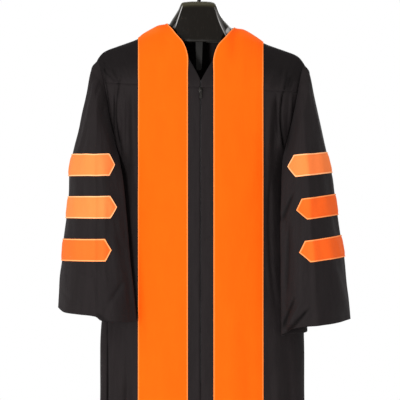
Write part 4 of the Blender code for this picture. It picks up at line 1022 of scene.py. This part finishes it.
def sleeve(side, word, finish):
    """A wide sleeve: a tube whose head tucks in under the armhole's edge."""
    levels = np.concatenate([np.linspace(0, 0.12, 22), np.linspace(0.12, 1, 112)[1:]])
    t, degrees = grid(levels, np.linspace(0, 360, 144, endpoint=False))
    form, _ = dressed_sleeve(side, degrees, t)
    normals = normals_of(form, sleeve_centre(side, form), tube=True)
    tucked = ease((1 - np.cos(np.radians(degrees))) / 0.7)
    under = CLOTH * ease((t - 0.002) / 0.02) - 1.6 * MM * (1 - ease(t / 0.012))
    outer = form + normals * mix(CLOTH, under, tucked)[..., None]
    tuck = form[0] + unit(outer[0] - outer[3]) * 6 * MM - normals[1] * 2.2 * MM
    outer = np.concatenate([tuck[None], outer])
    normals = np.concatenate([normals[:1], normals])
    # Painted shade in the sharp creases of the sleeve's front
    dark = grooves(SLEEVE_CREASES, outer) * (np.sin(np.radians(degrees[0])) > 0)
    return cloth(f"sleeve_tube_{word}", outer, normals, SHELL, finish, tube=True, shade=dark)


def sleeve_level(side, degrees, z):
    """The share of the sleeve's length at which a height lies, at an angle."""
    top = sleeve_form(side, degrees, 0 * degrees)[..., 2]
    low = sleeve_form(side, degrees, 0 * degrees + 1)[..., 2]
    share = (top - z) / (top - low)
    for _ in range(ROUNDS):
        share = share + (sleeve_form(side, degrees, share)[..., 2] - z) / (top - low)
    return share


def bar_columns(bar):
    """Lengths from its front tip at which a bar has columns, its points' length, and a curve
    of lengths against degrees round the sleeve."""
    middle = (bar.tip_top + bar.tip_low) / 2 * MM
    degrees = np.linspace(0, 180, 721)
    x = np.abs(sleeve_form(bar.side, degrees, sleeve_level(bar.side, degrees, middle))[..., 0])
    x = np.minimum.accumulate(x)
    tip, shoulder = (np.interp(-at * MM, -x, degrees) for at in (bar.tip_x, bar.shoulder_x))
    back = tip + 16 - np.linspace(0, 346, 1385)
    ring = sleeve_form(bar.side, back, sleeve_level(bar.side, back, middle))
    gone = np.concatenate([[0], np.cumsum(np.linalg.norm(np.diff(ring, axis=0), axis=-1))])
    gone = gone - np.interp(-tip, -back, gone)
    point = float(np.interp(-shoulder, -back, gone))
    lengths = np.concatenate([np.linspace(0, point, 19), np.linspace(
        point, BAR_LENGTH - point, 112)[1:-1], np.linspace(BAR_LENGTH - point, BAR_LENGTH, 19)])
    return lengths, point, gone, back


def sleeve_bar(bar, name, finish):
    """A velvet bar round the outer sleeve, piped along its border, pointed at both ends."""
    lengths, point, gone, back = bar_columns(bar)
    across, lengths = grid(even_with_edges(14, BAR_HEIGHT, 8 * MM), lengths)
    fill = np.clip(np.minimum(lengths, BAR_LENGTH - lengths) / point, 0, 1)
    tilt = bar.lean * (0.5 - across) * fill * BAR_FACE * (1 - lengths / BAR_LENGTH)
    degrees = np.interp(lengths - tilt, gone, back)
    front = np.clip(degrees, 0, 180)
    across_sleeve = corner_at(front)[0]
    reach = (1 - across_sleeve) / (1 - across_sleeve.min())
    top = mix(bar.outer_top, bar.tip_top, reach) * MM
    low = mix(bar.outer_low, bar.tip_low, reach) * MM
    half = (top - low) / 2
    off = (1 - 2 * across) * half * np.maximum(fill, 0.02)
    z = (top + low) / 2 + off
    points, normals = dressed_sleeve(bar.side, degrees, sleeve_level(bar.side, degrees, z))
    from_point = np.minimum(lengths, BAR_LENGTH - lengths) * half - np.abs(off) * point
    from_edge = np.minimum(half - np.abs(off), from_point / np.hypot(point, half))
    from_edge = np.maximum(from_edge, 0)
    piping = bump((from_edge - 1.6 * MM) / (1.7 * MM)) * 0.9 * MM
    groove = bump((from_edge - 4.2 * MM) / (1.3 * MM)) * 0.45 * MM
    padding = 0.9 * MM * ease((from_edge - 4 * MM) / (9 * MM))
    round_edge = np.sqrt(1 - (1 - np.clip(from_edge / (1.3 * MM), 0, 1)) ** 2)
    lift = CLOTH + 0.9 * MM + 1.2 * MM * round_edge + piping - groove + padding
    outer = points + normals * lift[..., None]
    # Painted highlight: paler along the piped border
    return cloth(name, outer, normals, 1.3 * MM, finish,
                 shade=bump((from_edge - 1.4 * MM) / (2.6 * MM)))


def hanger_sections(count):
    """Top, half depth and skirt at even steps along the hanger, from end to end."""
    stations = []
    for side in (-1, 1):
        half = []
        for row in HANGER_NECK:
            lean = float(LEAN * side * ease((row.x - 25) / 55))
            top = row.left_top if side < 0 else row.right_top
            half.append((side * row.x, top - lean / MM, row.half_depth,
                         row.skirt - lean / MM))
        for row in HANGER_SHOULDERS:
            top = float(ridge_z(np.array(side * row.x * MM - GOWN_X))) / MM - row.under
            half.append((side * row.x, top, row.half_depth, top - row.drop))
        stations += reversed(half) if side < 0 else half[1:]
    rows = table("x top half_depth skirt", stations)
    ends = rows[0].x, rows[-1].x
    x = ends[0] + (ends[1] - ends[0]) * np.linspace(0, 1, count)
    return x * MM, *(look_up(rows, "x", column, x) * MM
                     for column in ("top", "half_depth", "skirt"))


def hanger_body(finish):
    """The hanger's moulded shell, open below, with a thin bead along its lower edge."""
    x, top, radius, skirt = (values[:, None] for values in hanger_sections(260))
    turn = np.radians(np.linspace(0, 90, 14))
    straight = np.array([0.2, 0.45, 0.7, 0.86, 0.93, 0.965, 1.0])
    bead = np.array([0, 0, 0, 0.04, 0.22, 0.38, 0.30]) * MM
    bend = np.minimum(radius, HANGER_BEND)
    arc_y = radius - bend + bend * np.sin(turn)[None, :]
    arc_z = top - bend * (1 - np.cos(turn)[None, :])
    y = np.concatenate([arc_y, radius + bead[None, :]], axis=1)
    z = np.concatenate([arc_z, mix(arc_z[:, -1:], skirt, straight[None, :])], axis=1)
    y = np.concatenate([-y[:, ::-1], y], axis=1)
    z = np.concatenate([z[:, ::-1], z], axis=1)
    outer = vectors(x, y, z)
    normals = normals_of(outer, np.array([0, 0, -0.2]))
    # The shade attribute marks faces that look up, for the painted lit band on the top
    return cloth("hanger_moulding", outer, normals, HANGER_WALL, finish, shift=0.0,
                 shade=ease((normals[..., 2] - 0.25) / 0.5))[0]


def add_line(curve, points, closed=False):
    """Adds a line of straight steps through points to a curve."""
    line = curve.splines.new("POLY")
    line.points.add(len(points) - 1)
    for point, place in zip(line.points, points):
        point.co = (*place, 1)
    line.use_cyclic_u = closed


def wire_hook(finish):
    """The wire hook as a smooth tube; its inner top is the origin."""
    wire = 2.3 * MM
    radius = 20 * MM + wire
    centre_z = wire - radius
    low = centre_z - radius
    path = [(0, 0, -63.2 * MM), (0, 0, low - 6 * MM), (0.6 * MM, 0, low - 2 * MM)]
    for turn in np.radians(np.linspace(-72, 205, 60)):
        path.append((radius * math.cos(turn), 0, centre_z + radius * math.sin(turn)))
    path.append((path[-1][0] - 2.5 * MM, 0, path[-1][2] - 4 * MM))
    curve = bpy.data.curves.new("wire_hook", "CURVE")
    curve.dimensions = "3D"
    curve.bevel_depth = wire
    curve.bevel_resolution = 6
    curve.use_fill_caps = True
    add_line(curve, path)
    return as_mesh("wire_hook", curve, finish)


def as_mesh(name, curve, finish, tree=None, **inputs):
    """A plain mesh object from a curve, or from what a node tree sets along it."""
    source = into_scene(name + "_path", curve)
    if tree:
        modifier = source.modifiers.new("Repeat", "NODES")
        modifier.node_group = tree
        inputs["Finish"] = finish
        for socket in tree.interface.items_tree:
            if socket.in_out == "INPUT" and socket.name in inputs:
                modifier[socket.identifier] = inputs[socket.name]
    graph = bpy.context.evaluated_depsgraph_get()
    mesh = bpy.data.meshes.new_from_object(source.evaluated_get(graph))
    mesh.name = name
    source.modifiers.clear()
    bpy.data.objects.remove(source, do_unlink=True)
    return link(name, mesh, finish)


def from_blocks(name, shape, finish):
    """An object from a mesh that was being built."""
    mesh = bpy.data.meshes.new(name)
    shape.to_mesh(mesh)
    shape.free()
    return link(name, mesh, finish)


def front_depth(z, x=ZIP_EDGE):
    return on_body_at(-1, 1, np.array(x), np.array(z))[..., 1]


def rounded_block(shape, centre, size, bevel):
    """Adds a block with rounded edges to a mesh that is being built."""
    made = bmesh.ops.create_cube(shape, size=1.0)["verts"]
    bmesh.ops.scale(shape, vec=size, verts=made)
    bmesh.ops.translate(shape, vec=centre, verts=made)
    edges = list({edge for vert in made for edge in vert.link_edges})
    bmesh.ops.bevel(shape, geom=edges, offset=bevel, segments=3, affect="EDGES", profile=0.5)


def zip_slider(finish):
    """The slider: a waisted body with a raised bridge for the pull tab."""
    lie = float(front_depth(SLIDER_Z - 6.5 * MM)) - CLOTH - 0.6 * MM
    foot_y = lie - 2 * MM
    bridge_y = lie - 4.5 * MM
    shape = bmesh.new()
    rounded_block(shape, (GOWN_X, lie - 1.2 * MM, SLIDER_Z), (9.4 * MM, 2.3 * MM, 12.8 * MM),
                  0.9 * MM)
    for vert in shape.verts:
        waist = 1 - 0.16 * float(bump((vert.co.z - SLIDER_Z + 1.5 * MM) / (6 * MM)))
        vert.co.x = GOWN_X + (vert.co.x - GOWN_X) * waist
    for way in (-1, 1):
        rounded_block(shape, (GOWN_X, (foot_y + bridge_y) / 2, SLIDER_Z + way * 3.9 * MM),
                      (2 * MM, foot_y - bridge_y, 1.4 * MM), 0.3 * MM)
    rounded_block(shape, (GOWN_X, bridge_y - 0.35 * MM, SLIDER_Z), (2 * MM, 1.3 * MM, 9.2 * MM),
                  0.45 * MM)
    return from_blocks("slider_body", shape, finish)


def tab_outline(half, top, low):
    """A tab with a rounded end, waisted below its eye."""
    waist = mix(top, low, 0.42)
    points = [(-half * 0.92, top, 0), (half * 0.92, top, 0), (half, top - 1 * MM, 0),
              (half * 0.72, waist, 0)]
    for turn in np.radians(np.linspace(0, 180, 15)):
        points.append((half * math.cos(turn), low + half - half * math.sin(turn), 0))
    return points + [(-half * 0.72, waist, 0), (-half, top - 1 * MM, 0)]


def zip_tab(finish):
    """The pull tab, a stamped plate with an eye, hanging from the slider's bridge."""
    lowest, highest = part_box("pull_tab")
    y = (lowest[1] + highest[1]) / 2
    middle = (lowest[2] + highest[2]) / 2
    half_length = (highest[2] - lowest[2]) / 2
    curve = bpy.data.curves.new("tab_plate", "CURVE")
    curve.dimensions = "2D"
    curve.fill_mode = "BOTH"
    curve.extrude = 0.38 * MM
    curve.bevel_depth = 0.18 * MM
    curve.bevel_resolution = 2
    end = half_length - 0.2 * MM
    eye_top, eye_low = half_length - 1.4 * MM, half_length - 6.4 * MM
    eye = [(x * MM, up, 0) for x, up in ((-1.7, eye_top), (1.7, eye_top),
                                         (1.7, eye_low), (-1.7, eye_low))]
    for points in (tab_outline(3.1 * MM, end, -end), eye):
        add_line(curve, points, closed=True)
    tab = as_mesh("tab_plate", curve, finish)
    for vert in tab.data.vertices:
        x, up, depth = vert.co
        vert.co = (GOWN_X + x, y + depth, middle + up)
    tab.data.update()
    return tab


def repeater(name, kind, **settings):
    """A node tree that sets one small shape at even steps along a path."""
    tree = bpy.data.node_groups.new(name, "GeometryNodeTree")
    face = tree.interface
    face.new_socket("Path", in_out="INPUT", socket_type="NodeSocketGeometry")
    for label in ("Pitch", "Width", "Height", "Length"):
        face.new_socket(label, in_out="INPUT", socket_type="NodeSocketFloat")
    face.new_socket("Finish", in_out="INPUT", socket_type="NodeSocketMaterial")
    face.new_socket("Pieces", in_out="OUTPUT", socket_type="NodeSocketGeometry")

    inside, points, place, real, smooth, coat, outside = chain = [
        tree.nodes.new(step) for step in (
            "NodeGroupInput", "GeometryNodeCurveToPoints", "GeometryNodeInstanceOnPoints",
            "GeometryNodeRealizeInstances", "GeometryNodeSetShadeSmooth",
            "GeometryNodeSetMaterial", "NodeGroupOutput")]
    for node, following in zip(chain, chain[1:]):
        tree.links.new(node.outputs[0], following.inputs[0])
    points.mode = "LENGTH"
    small = tree.nodes.new(kind)
    for label, value in settings.items():
        small.inputs[label].default_value = value
    size = tree.nodes.new("ShaderNodeCombineXYZ")
    for source, slot in (
            (inside.outputs["Pitch"], points.inputs["Length"]),
            (inside.outputs["Width"], size.inputs["X"]),
            (inside.outputs["Height"], size.inputs["Y"]),
            (inside.outputs["Length"], size.inputs["Z"]),
            (small.outputs["Mesh"], place.inputs["Instance"]),
            (points.outputs["Rotation"], place.inputs["Rotation"]),
            (size.outputs["Vector"], place.inputs["Scale"]),
            (inside.outputs["Finish"], coat.inputs["Material"])):
        tree.links.new(source, slot)
    return tree


def along_paths(name, paths, tree, finish, **sizes):
    """A plain mesh of small shapes set along paths by a node tree."""
    curve = bpy.data.curves.new(name + "_paths", "CURVE")
    curve.dimensions = "3D"
    for path in paths:
        add_line(curve, path)
    return as_mesh(name, curve, finish, tree, **sizes)


def camera_and_lights():
    """The photo's camera, level with the middle of its frame, and a soft white studio."""
    data = bpy.data.cameras.new("camera")
    camera = into_scene("camera", data)
    away = 9.0
    view_width = 0.98           # 400 pixels of 2.45 mm, at the gown's front
    front = 0.02
    camera.location = (2.3 * MM, -away, -0.554)
    camera.rotation_euler = (math.pi / 2, 0, 0)
    data.sensor_width = 36
    data.lens = data.sensor_width * (away - front) / view_width
    data.clip_end = 60
    bpy.context.scene.camera = camera

    world = bpy.data.worlds.new("studio")
    world.use_nodes = True
    backdrop = world.node_tree.nodes["Background"]
    backdrop.inputs["Color"].default_value = (1.0, 1.0, 1.0, 1.0)
    backdrop.inputs["Strength"].default_value = 1.0
    bpy.context.scene.world = world
    bpy.context.scene.view_settings.view_transform = "Standard"

    aim = Vector((0, 0, -0.6))
    for lamp in table("name place width height power", [
            ("key", (-1.5, -5.0, -1.0), 0.7, 0.9, 250),
            ("left fill", (-3.2, -3.0, -0.4), 1.4, 1.4, 75),
            ("left strip", (-2.27, -1.65, 1.1), 0.06, 0.9, 16),
            ("right strip", (1.87, -1.79, 1.75), 0.10, 0.9, 22),
            ("top", (0.0, -0.3, 2.4), 1.2, 0.8, 8),
            ("behind", (0.6, 3.4, 1.2), 2.0, 2.0, 60)]):
        light = bpy.data.lights.new(lamp.name, "AREA")
        light.shape = "RECTANGLE"
        light.size = lamp.width
        light.size_y = lamp.height
        light.energy = lamp.power
        item = into_scene(lamp.name, light)
        item.location = lamp.place
        item.rotation_euler = (aim - item.location).to_track_quat("-Z", "Y").to_euler()


def studio_floor(finish):
    shape = bmesh.new()
    bmesh.ops.create_circle(shape, cap_ends=True, segments=96, radius=2.3)
    bmesh.ops.translate(shape, vec=(0, 0, FLOOR_Z), verts=shape.verts)
    from_blocks("studio_floor", shape, finish)


def declare(item, node, body="gown"):
    """Attaches a finished piece to what it rides on, and hides the part it stands for."""
    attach(item, body)
    if node:
        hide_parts(node)


def front_and_sleeve(side, word, black, orange, seams):
    """One side's pieces, and the lines along which they are sewn."""
    item, lines = front_panel(side, word, black)
    declare(item, f"front_{word}")
    seams["gown"] += [lines[:, 5], lines[-5]]
    item, lines = front_yoke(side, word, black)
    declare(item, f"yoke_front_{word}")
    seams["gown"].append(lines[-2, 1:-1])
    item, lines = facing(side, word, orange)
    declare(item, f"velvet_{word}")
    seams["velvet"] += [lines[:, 5], lines[:, -6]]
    item, lines = sleeve(side, word, black)
    declare(item, f"sleeve_{word}")
    seams["gown"].append(np.concatenate([lines[-5], lines[-5, :1]]))


def back_and_neck(black, orange, seams):
    item, lines = back_panel(black)
    declare(item, "back")
    seams["gown"].append(lines[-4])
    item, lines = back_yoke(black)
    declare(item, "yoke_back")
    seams["gown"].append(lines[-2, 1:-1])
    item, _ = neck_velvet(orange)
    declare(item, "velvet_neck_back")


def sleeve_bars():
    """Three bars on each sleeve, in copies of one velvet with more or less painted sheen."""
    plain = velvet("bar velvet", (0.57, 0.065, 0.0055), (0.66, 0.098, 0.012),
                   (0.78, 0.27, 0.09))
    middle = velvet("bar velvet half brushed", (0.58, 0.074, 0.008), (0.68, 0.106, 0.016),
                    (0.80, 0.32, 0.12))
    pale = velvet("bar velvet against the nap", (0.60, 0.120, 0.023), (0.68, 0.168, 0.046),
                  (0.82, 0.40, 0.19))
    numbers = {-1: 0, 1: 0}
    for bar in SLEEVE_BARS:
        numbers[bar.side] += 1
        place = f"{'left' if bar.side < 0 else 'right'}_{numbers[bar.side]}"
        # The paler copies carry painted sheen, brighter where the nap catches the light
        finish = pale if bar.pale > 0.7 else middle if bar.pale > 0.4 else plain
        item, _ = sleeve_bar(bar, f"velvet_bar_{place}", finish)
        declare(item, f"bar_{place}")


def sewing(seams):
    """Rows of stitches along the seams of the gown and of the velvet."""
    stitches = repeater("stitches along a path", "GeometryNodeMeshUVSphere",
                        Segments=6, Rings=4, Radius=0.5)
    black = thread("black thread", (0.006, 0.005, 0.005), (0.014, 0.011, 0.011), 0.2)
    orange = thread("orange thread", (0.75, 0.14, 0.01), (0.95, 0.24, 0.03))
    for piece, slot, finish in (("gown", "black_cloth", black),
                                ("velvet", "orange_velvet", orange)):
        item = along_paths(f"{piece}_stitches", seams[piece], stitches, finish,
                           Pitch=3.2 * MM, Width=0.55 * MM, Height=0.55 * MM,
                           Length=2.3 * MM)
        declare(item, None)


def zip_pieces():
    """The zip's two rows of teeth, its tape, slider and pull tab."""
    teeth = repeater("teeth along a path", "GeometryNodeMeshCube", Size=(1.0, 1.0, 1.0))
    nylon = plain_plastic("nylon zip teeth", (0.012, 0.011, 0.012))
    heights = np.arange(-0.264, ZIP_END_Z, -2.2 * MM)
    depth = front_depth(heights) + 0.5 * MM
    for way, word in ((-1, "left"), (1, "right")):
        path = vectors(GOWN_X + way * 1.05 * MM, depth, heights - 0.55 * MM * (way > 0))
        item = along_paths(f"zip_coil_{word}", [path], teeth, nylon, Pitch=TEETH_PITCH,
                           Width=2.4 * MM, Height=1.5 * MM, Length=0.8 * MM)
        declare(item, "zip_chain")
    z, x = grid(np.linspace(-0.262, ZIP_END_Z - 0.07, 160), np.linspace(-12, 12, 9) * MM)
    tape = vectors(x, front_depth(z) + 1.5 * MM, z)
    forward = vectors(0 * x, -1, 0)
    item, _ = cloth("zip_tape_weave", tape, forward, 0.8 * MM, tape_cloth())
    declare(item, "zip_tape")
    plated = metal("dark plated zip metal", (0.014, 0.013, 0.012), 0.26)
    declare(zip_slider(plated), "zip_slider")
    declare(zip_tab(plated), "pull_tab", body="pull_tab")


def hanger():
    plastic = gloss_plastic()
    steel = metal("dark plated hook wire", (0.018, 0.017, 0.016), 0.22)
    declare(hanger_body(plastic), "hanger_shell")
    declare(wire_hook(steel), "hook")
    for node, finish in (("hanger_rib", plastic), ("hook_collar", steel)):
        bpy.data.objects[node].material_slots[0].material = finish


def main():
    camera_and_lights()
    studio_floor(floor_finish())
    black = gown_cloth()
    orange = velvet("orange velvet", (0.585, 0.061, 0.0004), (0.68, 0.080, 0.0010),
                    (0.74, 0.20, 0.043))
    seams = {"gown": [], "velvet": []}
    for side, word in ((-1, "left"), (1, "right")):
        front_and_sleeve(side, word, black, orange, seams)
    back_and_neck(black, orange, seams)
    sleeve_bars()
    sewing(seams)
    zip_pieces()
    hanger()


main()
